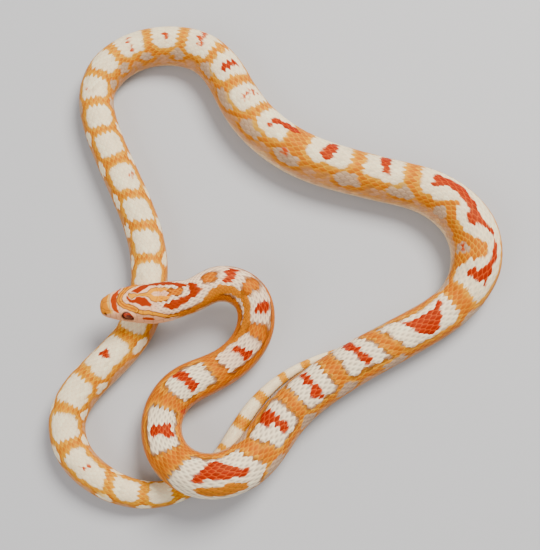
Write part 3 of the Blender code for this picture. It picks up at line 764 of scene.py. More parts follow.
def skin_colours(s, q, soft):
    """Both colours everywhere, the head's and the body's blended at the neck."""
    layers = np.empty((len(s), 2, 3))
    head = s < HEAD_END
    both = head & (s > BODY_START)
    layers[~head] = body_colours(s[~head], q[~head], soft)
    layers[head] = head_colours(s[head], q[head], soft)
    body = body_colours(s[both], q[both], soft)
    beside = ramp(*SIDE_BLEND, s[both]) * ramp(*SIDE_BLEND_EDGE, np.abs(q[both]))
    amount = np.maximum(ramp(*NAPE_BLEND, s[both]), beside)[:, None, None]
    layers[both] = layers[both] * (1 - amount) + body * amount
    return layers


def linear(colour):
    """Screen colour as light."""
    colour = np.clip(colour, 0, 1)
    return np.where(colour <= 0.04045, colour / 12.92, ((colour + 0.055) / 1.055) ** 2.4)


def make_mesh(name, points, faces, colours, uv):
    """Object from arrays: corners in mm, groups of faces, screen colours and places on the map."""
    mesh = bpy.data.meshes.new(name)
    loops = np.concatenate([group.ravel() for group in faces])
    sizes = np.concatenate([np.full(len(group), group.shape[1]) for group in faces])
    mesh.vertices.add(len(points))
    mesh.vertices.foreach_set("co", (points * MM).astype(np.float32).ravel())
    mesh.loops.add(len(loops))
    mesh.loops.foreach_set("vertex_index", loops.astype(np.int32))
    mesh.polygons.add(len(sizes))
    starts = np.concatenate(([0], np.cumsum(sizes)[:-1]))
    mesh.polygons.foreach_set("loop_start", starts.astype(np.int32))
    mesh.polygons.foreach_set("use_smooth", np.ones(len(sizes), dtype=bool))
    mesh.update(calc_edges=True)
    attribute = mesh.color_attributes.new("Colour", "FLOAT_COLOR", "POINT")
    rgba = np.ones((len(points), 4), dtype=np.float32)
    rgba[:, :3] = linear(colours)
    attribute.data.foreach_set("color", rgba.ravel())
    layer = mesh.uv_layers.new(name="OFBake")
    layer.uv.foreach_set("vector", uv.astype(np.float32).ravel())
    item = bpy.data.objects.new(name, mesh)
    bpy.context.scene.collection.objects.link(item)
    return item


# Unrolled skin: the body's length is cut into strips that lie under one another
STRIPS = 4
STRIP_LENGTH = (TAIL_END + 2) / STRIPS
STRIP_FILL = 0.98
STRIP_MARGIN = 0.01
# Size of a scale on the map
PATCH = 0.003


def unrolled(s, q, strip_of):
    """Place on the map of the unrolled skin, in the strip that holds the distance strip_of."""
    strip = np.clip(np.floor(strip_of / STRIP_LENGTH), 0, STRIPS - 1)
    u = (s - strip * STRIP_LENGTH) / STRIP_LENGTH
    v = (strip + 0.5 + q / 2 * STRIP_FILL) / STRIPS
    return np.stack([STRIP_MARGIN + u * STRIP_FILL, v], -1)


# Length of a scale's part that shows, and distance between the rows, at places along the body
PITCH = [
    (15, 1.1), (22, 1.35), (32, 1.6), (45, 1.8), (60, 2.05), (120, 2.2), (180, 2.25), (240, 2.4),
    (290, 2.3), (340, 1.8), (400, 1.8), (440, 1.8), (470, 1.5), (500, 1.25), (545, 0.7),
]
ROWS = [
    (15, 0.6), (32, 0.63), (60, 0.66), (90, 0.69), (120, 0.8), (180, 0.82), (210, 0.9), (250, 0.85),
    (300, 0.76), (340, 0.68), (400, 0.67), (440, 0.66), (470, 0.57), (500, 0.44), (545, 0.22),
]
# Length and width of a scale, in rings and rows, and how much they differ
SCALE_LENGTH = 1.42
SCALE_WIDTH = 1.72
SIZE_RANGE = (0.97, 1.03)
# Corners of a scale's rim, how square it is, and the share of the rim's size inside it
SCALE_CORNERS = 14
SCALE_SQUARENESS = 1.55
INNER_RING = 0.66
# Rows on each side of the back, and q beyond which the belly has wide scales
SIDE_ROWS = 22
SCALE_SIDE = 0.7
# First ring, ends of the rings and scales, and least distance from the head's shields
FIRST_RING = 14.0
RINGS_END = TAIL_END - 1.2
SCALES_END = TAIL_END - 1
SHIELD_GAP = 0.5
# Width of a full row, and in such a row: depth of the skin under the solids' surface, rise of a
# scale to its free end, height of its dome and depth of its underside
FULL_ROW = 0.8
SKIN_DEPTH = 0.22
SCALE_TILT = 0.16
SCALE_DOME = 0.09
UNDERSIDE = 0.08
# Share of a scale's size over which its colour is read
COLOUR_SPREAD = 0.45
# How much the place of that reading and the tint differ, and how far rims take the skin's colour
COLOUR_JITTER = 0.2
TINT = 0.028
RIM_SHARE = 0.65
# Darkness of the middle of a scale, and how much of it reaches red, green and blue on a deep colour
CORE_SHADE = [(15, 0.38), (150, 0.36), (190, 0.2), (260, 0.1), (545, 0.07)]
CORE_HUE = (0.25, 0.6, 0)


def pitch(s):
    """Distance between the rings of scales."""
    return table_value(PITCH, s)


def row_width(s):
    """Distance between the rows of scales, round the body."""
    return table_value(ROWS, s)


# First scale behind the head's shields, by the distance round from the back
SHIELD_END = [
    (0, 15.3), (0.1, 15.1), (0.2, 14.0), (0.27, 13.7), (0.36, 15.4), (0.5, 15.6), (0.6, 17.8),
    (0.68, 17.8), (0.74, 15.5), (1.0, 15.5),
]


def shield_end(q):
    """Where the head's shields end."""
    return table_value(SHIELD_END, np.abs(q - HEAD_ROLL))


def ring_places():
    """Distance of each ring of scales from the snout."""
    places = [FIRST_RING]
    while places[-1] < RINGS_END:
        places.append(places[-1] + float(pitch(places[-1])))
    return np.array(places)


RINGS = ring_places()


def scale_roots():
    """Middle of every scale, alternate rows moved on by half a ring."""
    middles = []
    for number in range(-SIDE_ROWS, SIDE_ROWS + 1):
        s = RINGS + (abs(number) % 2) * pitch(RINGS) / 2
        q = number * row_width(s) / half_girth(s)
        kept = (np.abs(q) < SCALE_SIDE) & (s > shield_end(q) + SHIELD_GAP) & (s < SCALES_END)
        middles.append(np.stack([s[kept], q[kept]], -1))
    middles = np.concatenate(middles)
    return middles[np.argsort(middles[:, 0], kind="stable")]


def scale_shape():
    """Corners of one scale: middle, inner ring, rim and a point under it."""
    angle = np.arange(SCALE_CORNERS) * 2 * math.pi / SCALE_CORNERS
    power = 2 / SCALE_SQUARENESS
    u = 0.5 * np.sign(np.cos(angle)) * np.abs(np.cos(angle)) ** power
    v = 0.5 * np.sign(np.sin(angle)) * np.abs(np.sin(angle)) ** power
    along = np.concatenate(([0], INNER_RING * u, u, [0]))
    across = np.concatenate(([0], INNER_RING * v, v, [0]))
    inner = np.full(SCALE_CORNERS, INNER_RING)
    radius = np.concatenate(([0], inner, np.ones(SCALE_CORNERS), [1]))
    return along, across, radius


def scale_faces(count):
    """Faces of many scales: a fan and a ring above, a fan below."""
    n = SCALE_CORNERS
    here = np.arange(n)
    beyond = (here + 1) % n
    size = 2 * n + 2
    top = np.stack([np.zeros(n, int), 1 + here, 1 + beyond], -1)
    ring = np.stack([1 + here, 1 + n + here, 1 + n + beyond, 1 + beyond], -1)
    below = np.stack([1 + n + here, np.full(n, size - 1), 1 + n + beyond], -1)
    shift = (np.arange(count) * size)[:, None, None]
    triangles = np.concatenate([top, below])[None] + shift
    quads = ring[None] + shift
    return triangles.reshape(-1, 3), quads.reshape(-1, 4)


def scale_colours(s, q, point_s, point_q):
    """Colours of the scales' corners, darker in the middle, with rims towards the skin's."""
    count = len(s)
    jitter = rng.normal(0, COLOUR_JITTER, (2, count)) * pitch(s) / 2
    spread_s = (s + jitter[0])[:, None] + COLOUR_SPREAD * (point_s - s[:, None])
    spread_q = (q + jitter[1] / half_girth(s))[:, None] + COLOUR_SPREAD * (point_q - q[:, None])
    layers = skin_colours(spread_s.ravel(), spread_q.ravel(), SCALE_SOFTNESS)
    layers = layers.reshape(count, -1, 2, 3)
    colours = layers[:, :, 0] * (1 + rng.normal(0, TINT, (count, 1, 1)))
    gap = layers[:, :, 1]
    pale = colours[:, 0, 2:] / colours[:, 0, :1]
    shade = table_value(CORE_SHADE, s)[:, None]
    colours[:, 0] *= 1 - shade * (pale + (1 - pale) * np.array(CORE_HUE))
    rim = slice(1 + SCALE_CORNERS, 1 + 2 * SCALE_CORNERS)
    colours[:, rim] += RIM_SHARE * (gap[:, rim] - colours[:, rim])
    colours[:, -1] = gap[:, -1]
    return colours


def sharpen_rims(mesh, size):
    """Sharp edges round the scales, each of which has this many corners."""
    ends = np.empty(len(mesh.edges) * 2, dtype=np.int32)
    mesh.edges.foreach_get("vertices", ends)
    local = ends.reshape(-1, 2) % size
    rim = ((local >= 1 + SCALE_CORNERS) & (local < 1 + 2 * SCALE_CORNERS)).all(1)
    sharp = mesh.attributes.new("sharp_edge", "BOOLEAN", "EDGE")
    sharp.data.foreach_set("value", rim)


def add_scales(name, roots):
    """One piece of the coat, from the middles of its scales."""
    count = len(roots)
    along, across, radius = scale_shape()
    s = roots[:, 0]
    q = roots[:, 1]
    width = row_width(s) * SCALE_WIDTH * rng.uniform(*SIZE_RANGE, count)
    length = pitch(s) * SCALE_LENGTH * rng.uniform(*SIZE_RANGE, count)
    point_s = s[:, None] + along[None] * length[:, None]
    point_q = q[:, None] + across[None] * (width / half_girth(s))[:, None]
    height = -SKIN_DEPTH + SCALE_TILT * (along[None] + 0.5) + SCALE_DOME * (1 - radius[None] ** 2)
    height = np.repeat(height, count, 0)
    height[:, -1] = -SKIN_DEPTH - UNDERSIDE
    height *= (row_width(s) / FULL_ROW)[:, None]
    points = surface(np.clip(point_s, 0, TAIL_END), point_q, height)
    colours = scale_colours(s, q, point_s, point_q)
    triangles, quads = scale_faces(count)
    patch = np.stack([along, across], -1)[None] * PATCH
    uv = (unrolled(s, q, s)[:, None] + patch).reshape(-1, 2)
    uv = np.concatenate([uv[triangles.ravel()], uv[quads.ravel()]])
    item = make_mesh(
        name, points.reshape(-1, 3), (triangles, quads), colours.reshape(-1, 3), uv)
    sharpen_rims(item.data, len(along))
    return item


# Steps along and across a belly scale, start of the belly scales, and q where they begin
BELLY_STEPS = (4, 12)
BELLY_FROM = 15.5
BELLY_START = 0.67
# Length of a belly scale and sweep of its ends, in rings, reach and tilt of its thin ends, and tint
BELLY_LENGTH = 1.3
BELLY_SWEEP = 0.35
BELLY_END = 0.12
BELLY_END_TILT = 0.35
BELLY_TINT = 0.02
# Place round the map and share of a scale's patch
BELLY_MAP = (0.96, 0.4)


def add_belly_scales(name):
    """Wide scales under the body, one to a ring, each a thin closed plate."""
    s = RINGS[(RINGS > BELLY_FROM) & (RINGS < SCALES_END)]
    a, b = (steps + 1 for steps in BELLY_STEPS)
    along = np.linspace(-0.5, 0.5, a)
    across = np.linspace(-1, 1, b)
    ring = pitch(s)[:, None, None]
    size = (row_width(s) / FULL_ROW)[:, None, None]
    grid_s = s[:, None, None] + along[None, :, None] * (ring * BELLY_LENGTH)
    grid_s = grid_s - BELLY_SWEEP * across[None, None, :] ** 2 * ring
    grid_q = 1 + (1 - BELLY_START) * across[None, None, :] + 0 * grid_s
    lift = SCALE_TILT * (along + 0.5)[None, :, None] + 0 * grid_s
    edge = np.minimum(1 - np.abs(across), BELLY_END)[None, None, :] / BELLY_END
    top = (-SKIN_DEPTH + lift * (BELLY_END_TILT + (1 - BELLY_END_TILT) * edge)) * size
    bottom = (-SKIN_DEPTH - UNDERSIDE + 0 * grid_s) * size
    place_s = np.clip(grid_s, 0, TAIL_END)
    points = np.stack([surface(place_s, grid_q, top), surface(place_s, grid_q, bottom)], 1)

    number = np.arange(2 * a * b).reshape(2, a, b)
    faces = []
    for net, flip in zip(number, (1, -1)):
        quad = np.stack([net[:-1, :-1], net[1:, :-1], net[1:, 1:], net[:-1, 1:]], -1)
        faces.append(quad.reshape(-1, 4)[:, ::-flip])
    net = number[0]
    loop = np.concatenate([net[0, :-1], net[:-1, -1], net[-1, :0:-1], net[:0:-1, 0]])
    next_loop = np.roll(loop, -1)
    faces.append(np.stack([loop, next_loop, next_loop + a * b, loop + a * b], -1))
    faces = np.concatenate(faces)
    quads = (faces[None] + (np.arange(len(s)) * number.size)[:, None, None]).reshape(-1, 4)

    flat_s = np.repeat(s, number.size)
    tint = np.repeat(rng.normal(0, BELLY_TINT, len(s)), number.size)
    colours = np.array(CREAM[0]) / 255 * (1 + tint)[:, None]
    round_q, patch = BELLY_MAP
    spot = np.stack(np.broadcast_arrays(patch * along[:, None], patch * across[None]), -1)
    spot = np.broadcast_to(spot, (len(s), 2, a, b, 2)).reshape(-1, 2) * PATCH
    uv = unrolled(flat_s, np.full(len(flat_s), round_q), flat_s) + spot
    return make_mesh(name, points.reshape(-1, 3), (quads,), colours, uv[quads.ravel()])


# Sutures between the head's shields, on one half: distance and q, mirrored over the midline
TOP_SUTURES = [
    [(0.0, 0.34), (0.5, 0.2), (0.95, 0.0)],
    [(0.95, 0.0), (5.0, 0.0)],
    [(0.6, 0.22), (1.5, 0.3), (2.6, 0.31)],
    [(2.6, 0.0), (2.75, 0.18), (2.6, 0.31)],
    [(5.0, 0.0), (5.0, 0.11), (5.3, 0.2), (5.45, 0.29)],
    [(2.6, 0.31), (4.0, 0.31), (5.45, 0.29)],
    [(5.0, 0.11), (7.0, 0.095), (8.4, 0.085), (9.9, 0.0)],
    [(8.4, 0.085), (9.0, 0.2), (9.3, 0.27)],
    [(9.9, 0.0), (15.2, 0.0)],
    [(9.3, 0.27), (11.5, 0.29), (13.4, 0.24), (14.8, 0.13), (15.3, 0.04), (15.2, 0.0)],
    [(9.4, 0.3), (9.9, 0.4), (9.9, 0.52)],
    [(11.4, 0.29), (11.6, 0.54)],
    [(9.9, 0.41), (11.5, 0.4), (13.6, 0.4)],
    [(13.4, 0.25), (13.7, 0.4), (13.6, 0.54)],
]
# Sutures of the sides: distance, and height over the mouth line
LABIAL_TOP = [
    (0.4, 1.0), (2.7, 1.0), (5.2, 0.95), (7.4, 0.85), (9.4, 0.95), (12, 1.25), (15, 1.3),
    (17.4, 0.9),
]
LABIAL_BOTTOM = [(0.6, -0.5), (4, -0.8), (9, -0.9), (14, -1.1), (17, -1.3)]
UPPER_LABIALS = (1.2, 2.4, 3.7, 5.2, 7.0, 9.0, 11.2, 13.5, 15.7)
LOWER_LABIALS = (1.4, 2.7, 4.2, 5.9, 7.8, 9.9, 12.2, 14.6)
FACE_SUTURES = [
    [(2.7, 1.0), (2.75, 2.2)], [(4.2, 0.95), (4.3, 2.6)], [(5.4, 0.95), (5.6, 3.0)],
    [(1.3, 1.0), (1.35, 2.0)],
]
SUTURE_DEPTH = 0.06
SUTURE_WIDTH = 0.13
# Height over the mouth line where the lips' sutures start
LIP_GAP = 0.1
# Where the side sutures begin: out from the middle, and round from the back
SIDE_START = (0.75, 0.33)
# Where the sutures end, on top and on the sides, and how far round the top reaches
TOP_END = (14.5, 17.5)
SIDE_END = (17.0, 18.2)
TOP_SIDE = 0.5
# Mouth: end, how far round it begins, and the slot's and lips' places, widths and heights
MOUTH_END = (17.2, 18.2)
MOUTH_SIDE = 0.3
MOUTH_WIDTH = 0.11
MOUTH_DEPTH = 0.22
LIP_PLACE = 0.35
LIP_WIDTH = 0.22
LIP_HEIGHT = 0.1
# Round the eye: radius, width and height of the brow and of the ring of scales, and radius, width
# and strength of the painted shade in a crease round that ring
BROW = (1.95, 0.35, 0.2)
EYE_RING = (2.05, 0.2, 0.12)
EYE_CREASE_SHADE = (2.3, 0.1, 0.6)
# Height over the eye's middle where the brow rises, and edge, depth, rim of painted shade
# and reach of the socket
BROW_RISE = (0.6, 1.5)
SOCKET_EDGE = (1.45, 1.9)
SOCKET_DEPTH = 0.75
SOCKET_SHADE = (1.6, 1.82)
EYE_REACH = 2
# Nostril: how its shape is stretched, radius, depth and strength of the painted shade in it
NOSTRIL_STRETCH = (0.9, 0.5, 1.0)
NOSTRIL_RADIUS = 0.3
NOSTRIL_DEPTH = 0.45
NOSTRIL_SHADE = 1.3
# Strength of the painted shade in the mouth's slot
MOUTH_SLOT_SHADE = 0.9


def ridge(distance, place, width):
    """Rounded ridge, 1 high."""
    return np.exp(-((distance - place) / width) ** 2)


def suture_distance(s, y, over, on_side, girth):
    """Distance from the nearest suture of the top or, on the sides, of the lips and cheeks."""
    away = np.full(s.shape, OUT_OF_REACH)
    for path in TOP_SUTURES:
        away = np.minimum(away, path_distance(s, y, path, girth))
    sutures = [LABIAL_TOP, LABIAL_BOTTOM] + FACE_SUTURES
    sutures += [[(x, LIP_GAP), (x, table_value(LABIAL_TOP, x))] for x in UPPER_LABIALS]
    sutures += [[(x, -LIP_GAP), (x, table_value(LABIAL_BOTTOM, x))] for x in LOWER_LABIALS]
    flank = np.full(s.shape, OUT_OF_REACH)
    for path in sutures:
        flank = np.minimum(flank, path_distance(s, over, path, 1.0))
    return np.where(on_side, np.minimum(away, flank), away)


def face_pattern(s, q, local, girth):
    """How far the skin stands out of the form, and the painted shade of its creases and hollows."""
    across, height = local[..., 0], local[..., 1]
    side = np.abs(q - HEAD_ROLL)
    over = height - table_value(MOUTH_LINE, s)
    on_side = (np.abs(across) > SIDE_START[0]) & (side > SIDE_START[1])
    away = suture_distance(s, side * girth, over, on_side, girth)
    fade = 1 - ramp(*TOP_END, s) * (side < TOP_SIDE)
    # Sutures: sunk a little, with painted shade along them
    crease = ridge(away, 0, SUTURE_WIDTH) * (fade * (1 - ramp(*SIDE_END, s)))
    stand = -SUTURE_DEPTH * crease

    jaw = (1 - ramp(*MOUTH_END, s)) * (side > MOUTH_SIDE)
    slot = ridge(over, 0, MOUTH_WIDTH) * jaw
    lips = ridge(np.abs(over), LIP_PLACE, LIP_WIDTH) * jaw
    stand += -MOUTH_DEPTH * slot + LIP_HEIGHT * lips

    outward = np.array([
        -math.cos(EYE_UP) * math.sin(EYE_FORWARD), math.cos(EYE_UP) * math.cos(EYE_FORWARD),
        math.sin(EYE_UP)])
    hollow_shade = np.zeros(s.shape)
    for direction in (1, -1):
        spot = np.stack([s, across * direction, height], -1)
        place = spot - np.array(EYE_PLACE)
        reach = place @ outward
        flat = place - reach[..., None] * outward
        flat[..., 2] *= EYE_RADIUS[0] / EYE_RADIUS[1]
        radius = np.linalg.norm(flat, axis=-1)
        near = reach > -EYE_REACH
        brow = ridge(radius, *BROW[:2]) * near * ramp(*BROW_RISE, place[..., 2])
        stand += BROW[2] * brow
        stand -= SOCKET_DEPTH * (1 - ramp(*SOCKET_EDGE, radius)) * near
        stand += EYE_RING[2] * (ridge(radius, *EYE_RING[:2]) * near)
        # Painted shade in a crease round the eye's ring of scales
        crease = np.maximum(crease, ridge(radius, *EYE_CREASE_SHADE[:2]) * near * EYE_CREASE_SHADE[2])
        # Painted shade round the rim of the eye's socket
        hollow_shade = np.maximum(hollow_shade, (1 - ramp(*SOCKET_SHADE, radius)) * near)
        pit = np.linalg.norm((spot - np.array(NOSTRIL_PLACE)) * NOSTRIL_STRETCH, axis=-1)
        hole = ridge(pit, 0, NOSTRIL_RADIUS)
        stand -= NOSTRIL_DEPTH * hole
        # Painted shade in the nostril
        hollow_shade = np.maximum(hollow_shade, np.clip(NOSTRIL_SHADE * hole, 0, 1))
    # Painted shade in the creases and the mouth's slot, and in the hollows
    return stand, np.maximum(crease, MOUTH_SLOT_SHADE * slot), hollow_shade


# Points round half the skin, first ring, and steps between the rings: fine up to the neck, then
# coarser along the body and the tail
SKIN_HALF = 96
SKIN_START = 0.12
HEAD_STEP = 0.125
HEAD_FINE = 24.0
BODY_STEP = 1.9
TAIL_STEP = 1.0
TAIL_FROM = 440
# How far from the tip of the tail the even rings and the last ring are
EVEN_END = 0.6
SKIN_END = 0.2
# Rings that close the snout and the tail: share of the last ring, and reach beyond it
SNOUT_CAP = [(0.75, 0.1), (0.45, 0.19), (0.0, 0.22)]
TAIL_CAP = [(0.5, 0.1), (0.0, 0.15)]
# Length that the snout's rings take on the map
SNOUT_MAP = 0.1
# Where the skin starts to lie under scales, and the end of the face's pattern
SCALED_FROM = 12
FACE_END = 19
# Colours of the painted shade in creases and hollows, and how strongly the creases' shade shows
CREASE_SHADE_COLOUR = (96, 48, 40)
CREASE_SHADE_SHARE = 0.24
HOLLOW_SHADE_COLOUR = (64, 18, 10)


def skin_rings():
    """Distance of each ring of the skin from the snout."""
    head = np.arange(SKIN_START, HEAD_FINE, HEAD_STEP)
    body = [HEAD_FINE]
    while body[-1] < TAIL_END - EVEN_END:
        body.append(body[-1] + (BODY_STEP if body[-1] < TAIL_FROM else TAIL_STEP))
    return np.concatenate([head, np.array(body[:-1]), [TAIL_END - SKIN_END]])


def cap_rings(edge, outward, steps):
    """Rings that close an end of the skin beyond its last ring."""
    middle = edge.mean(0)
    return [middle + (edge - middle) * share + outward * reach for share, reach in steps]


def heading(s):
    """Level direction of the route at one place, as a vector."""
    return np.array([*(float(v) for v in travel(s)), 0.0])


def close_skin(s, q, points, colours):
    """Closed mesh from the skin's grid, whose columns run once round."""
    snout = cap_rings(points[0], -heading(s[0]), SNOUT_CAP)
    tail = cap_rings(points[-1], heading(s[-1]), TAIL_CAP)
    before = len(snout) - 1
    after = len(tail) - 1
    grid = np.concatenate([snout[-2::-1], points, tail[:-1]])
    tints = np.concatenate([
        np.repeat(colours[:1], before, 0), colours, np.repeat(colours[-1:], after, 0)])
    all_s = np.concatenate([np.linspace(0, SNOUT_MAP, before), s, np.full(after, TAIL_END)])
    rings, columns = grid.shape[:2]
    number = np.arange(rings * columns).reshape(rings, columns)
    around = np.roll(number, -1, 1)
    quads = np.stack([number[:-1], around[:-1], around[1:], number[1:]], -1).reshape(-1, 4)
    tip = np.stack([around[0], number[0], np.full(columns, number.size)], -1)
    end = np.stack([number[-1], around[-1], np.full(columns, number.size + 1)], -1)
    corners = np.concatenate([grid.reshape(-1, 3), snout[-1][:1], tail[-1][:1]])
    tints = np.concatenate([tints.reshape(-1, 3), colours[0][:1], colours[-1][:1]])
    corner_q = np.stack([q[:-1], q[1:], q[1:], q[:-1]], -1)[None] + np.zeros((rings - 1, 1, 1))
    corner_s = np.stack([all_s[:-1], all_s[:-1], all_s[1:], all_s[1:]], -1)[:, None]
    corner_s = corner_s + np.zeros((1, columns, 1))
    quad_uv = unrolled(corner_s, corner_q, corner_s[..., :1]).reshape(-1, 2)
    tip_uv = unrolled(np.zeros(columns * 3), np.tile([q[1], q[0], q[0]], columns), np.zeros(1))
    end_s = np.full(columns * 3, float(TAIL_END))
    end_uv = unrolled(end_s, np.tile([q[0], q[1], q[0]], columns), end_s)
    uv = np.concatenate([quad_uv, tip_uv, end_uv])
    return make_mesh("skin", corners, (quads, tip, end), tints, uv)


def add_skin():
    """One skin over the whole animal, with its mouth, nostrils and shields."""
    s = skin_rings()
    points, local, girth = body_grid(s, SKIN_HALF + 1)
    q = np.linspace(-1, 1, 2 * SKIN_HALF + 1)
    grid_s, grid_q = np.meshgrid(s, q, indexing="ij")
    size = (row_width(s) / FULL_ROW)[:, None]
    under = np.where(grid_s > SCALED_FROM, ramp(0, 1.0, grid_s - shield_end(grid_q)), 0)
    stand = -SKIN_DEPTH * size * under
    face = s < FACE_END
    form, crease, hollow_shade = face_pattern(
        grid_s[face], grid_q[face], local[face], girth[face][:, None])
    stand[face] += form
    layers = skin_colours(grid_s.ravel(), grid_q.ravel(), SKIN_SOFTNESS)
    layers = layers.reshape(len(s), len(q), 2, 3)
    blend = under[..., None]
    colours = layers[:, :, 0] * (1 - blend) + layers[:, :, 1] * blend
    # Painted shade in the creases, the mouth's slot, the nostrils and round the eye sockets
    for colour, amount in ((CREASE_SHADE_COLOUR, CREASE_SHADE_SHARE * crease), (HOLLOW_SHADE_COLOUR, hollow_shade)):
        colours[face] += (np.array(colour) / 255 - colours[face]) * amount[..., None]
    points = points + grid_normals(points) * stand[..., None]
    return close_skin(s, q, points[:, :-1], colours[:, :-1])


def head_frame():
    """Frame of the head: back from the snout, towards its left, and up from the chin."""
    x, y = (float(v) for v in plan_point(0.0))
    ahead_x, ahead_y = (float(v) for v in travel(np.array(1.0)))
    base = Vector((x, y, float(steady(LIFT, np.array(0.0)))))
    axes = Matrix(((ahead_x, -ahead_y, 0), (ahead_y, ahead_x, 0), (0, 0, 1))).to_4x4()
    lean = Matrix.Rotation(-math.radians(LEAN[0][1]), 4, "X")
    up = Matrix.Translation((0, 0, LEAN_LEVEL))
    return Matrix.Translation(base) @ axes @ up @ lean @ up.inverted()


# Rings and columns of an eye ball, and its colours as 8-bit screen values
EYE_GRID = (48, 64)
PUPIL = (96, 18, 4)
IRIS = (172, 54, 8)
IRIS_RIM = (84, 18, 6)
# Where the iris begins and ends, and a radius inside it where the colours under it change
PUPIL_EDGE = (0.4, 0.48)
IRIS_EDGE = (0.72, 0.86)
RIM_START = 0.6
# Streaks of the iris: number of fine ones, strength and number of their bends, number and turn of
# the broad ones and strength of all; and painted light, which makes the iris lighter at the top
# and darker at the bottom
FINE_STREAKS = 23
BEND = 3
BENDS = 5
BROAD_STREAKS = 11
BROAD_TURN = 1.3
STREAK_STRENGTH = 0.09
PAINTED_IRIS_LIGHT = 0.22
# Half width of an eye's front or back on its map
EYE_MAP = 0.24


def add_eye(name, side):
    """Eye ball with a round dark red pupil in an orange red iris."""
    rings, columns = EYE_GRID
    polar = np.linspace(0, math.pi, rings + 1)[1:-1]
    turn = np.arange(columns) * 2 * math.pi / columns
    x = np.cos(polar)[:, None] + 0 * turn[None]
    y = np.sin(polar)[:, None] * np.cos(turn)[None]
    z = np.sin(polar)[:, None] * np.sin(turn)[None]
    points = np.concatenate([np.stack([x, y, z], -1).reshape(-1, 3), [(1, 0, 0), (-1, 0, 0)]])
    radius = np.hypot(points[:, 1], points[:, 2])
    angle = np.arctan2(points[:, 2], points[:, 1])
    fine = np.sin(angle * FINE_STREAKS + BEND * np.sin(angle * BENDS))
    streak = fine * np.sin(angle * BROAD_STREAKS + BROAD_TURN)
    iris = ramp(*PUPIL_EDGE, radius) * (1 - ramp(*IRIS_EDGE, radius))
    iris = np.where(points[:, 0] > 0, iris, 0)
    base = np.where((radius > RIM_START)[:, None], np.array(IRIS_RIM), np.array(PUPIL)) / 255
    # Streaks, and painted light: the iris lighter at the top and darker at the bottom
    light = 1 + STREAK_STRENGTH * streak + PAINTED_IRIS_LIGHT * points[:, 2] / np.maximum(radius, 0.2)
    colours = base + (np.array(IRIS) / 255 * light[:, None] - base) * iris[:, None]
    place, across, height = EYE_PLACE
    matrix = head_frame() @ Matrix.Translation((place, side * across, height))
    matrix = matrix @ Matrix.Rotation(side * (math.pi / 2 + EYE_FORWARD), 4, "Z")
    matrix = matrix @ Matrix.Rotation(-EYE_UP, 4, "Y")
    matrix = matrix @ Matrix.Diagonal((EYE_DEPTH, *EYE_RADIUS, 1))
    placed = points @ np.array(matrix.to_3x3()).T + np.array(matrix.translation)
    number = np.arange((rings - 1) * columns).reshape(rings - 1, columns)
    around = np.roll(number, -1, 1)
    quads = np.stack([number[:-1], number[1:], around[1:], around[:-1]], -1).reshape(-1, 4)
    front = np.stack([np.full(columns, len(points) - 2), number[0], around[0]], -1)
    back = np.stack([np.full(columns, len(points) - 1), around[-1], number[-1]], -1)
    loops = np.concatenate([quads.ravel(), front.ravel(), back.ravel()])
    flat = 0.5 + EYE_MAP * points[:, 1:]
    flat[:, 0] += np.where(points[:, 0] < 0, EYE_MAP, -EYE_MAP)
    return make_mesh(name, placed, (quads, front, back), colours, flat[loops])


# How much smoother and rougher than its middle value a finish gets
WEAR = (-0.06, 0.08)


def set_sockets(made, **inputs):
    """Sets a node's sockets by name, with _ for a space."""
    for key, value in inputs.items():
        made.inputs[key.replace("_", " ")].default_value = value


def node(tree, kind, **inputs):
    """New node with its sockets set by name."""
    made = tree.nodes.new(kind)
    set_sockets(made, **inputs)
    return made


def painted_material(name):
    """New material with its node tree, its shader and the node that reads the painted colours."""
    material = bpy.data.materials.new(name)
    material.use_nodes = True
    tree = material.node_tree
    paint = tree.nodes.new("ShaderNodeAttribute")
    paint.attribute_name = "Colour"
    return material, tree, tree.nodes["Principled BSDF"], paint


def coloured_material(name, roughness, bump, bump_size, mottle):
    """Skin finish: painted colours with soft mottling, fine bump and a satin sheen."""
    material, tree, shader, paint = painted_material(name)
    place = tree.nodes.new("ShaderNodeTexCoord")
    blotch = node(tree, "ShaderNodeTexNoise", Scale=900.0, Detail=3.0, Roughness=0.6)
    shade = node(tree, "ShaderNodeMapRange", From_Min=0.25, From_Max=0.75,
                 To_Min=1 - mottle, To_Max=1 + mottle)
    mix = tree.nodes.new("ShaderNodeVectorMath")
    mix.operation = "SCALE"
    grain = node(tree, "ShaderNodeTexNoise", Scale=bump_size, Detail=4.0, Roughness=0.55)
    relief = node(tree, "ShaderNodeBump", Strength=bump, Distance=0.0001)
    wear = node(tree, "ShaderNodeMapRange", From_Min=0.3, From_Max=0.7,
                To_Min=roughness + WEAR[0], To_Max=roughness + WEAR[1])
    for source, output, target, socket in (
            (place, "Object", blotch, "Vector"), (blotch, "Fac", shade, "Value"),
            (paint, "Color", mix, 0), (shade, "Result", mix, "Scale"),
            (mix, "Vector", shader, "Base Color"), (place, "Object", grain, "Vector"),
            (grain, "Fac", relief, "Height"), (relief, "Normal", shader, "Normal"),
            (grain, "Fac", wear, "Value"), (wear, "Result", shader, "Roughness")):
        tree.links.new(source.outputs[output], target.inputs[socket])
    set_sockets(shader, Specular_IOR_Level=0.16, Specular_Tint=(1.0, 0.78, 0.34, 1))
    return material


def eye_material():
    """Wet gloss over the painted colours of the eye."""
    material, tree, shader, paint = painted_material("eye_gloss")
    tree.links.new(paint.outputs["Color"], shader.inputs["Base Color"])
    set_sockets(shader, Roughness=0.3, Specular_IOR_Level=0.2, Coat_Weight=0.35, Coat_Roughness=0.05)
    return material


# Pieces of the coat of scales, and where each starts
COAT = [("scales_neck", 0), ("scales_front", 135), ("scales_rear", 235), ("scales_tail", 350)]


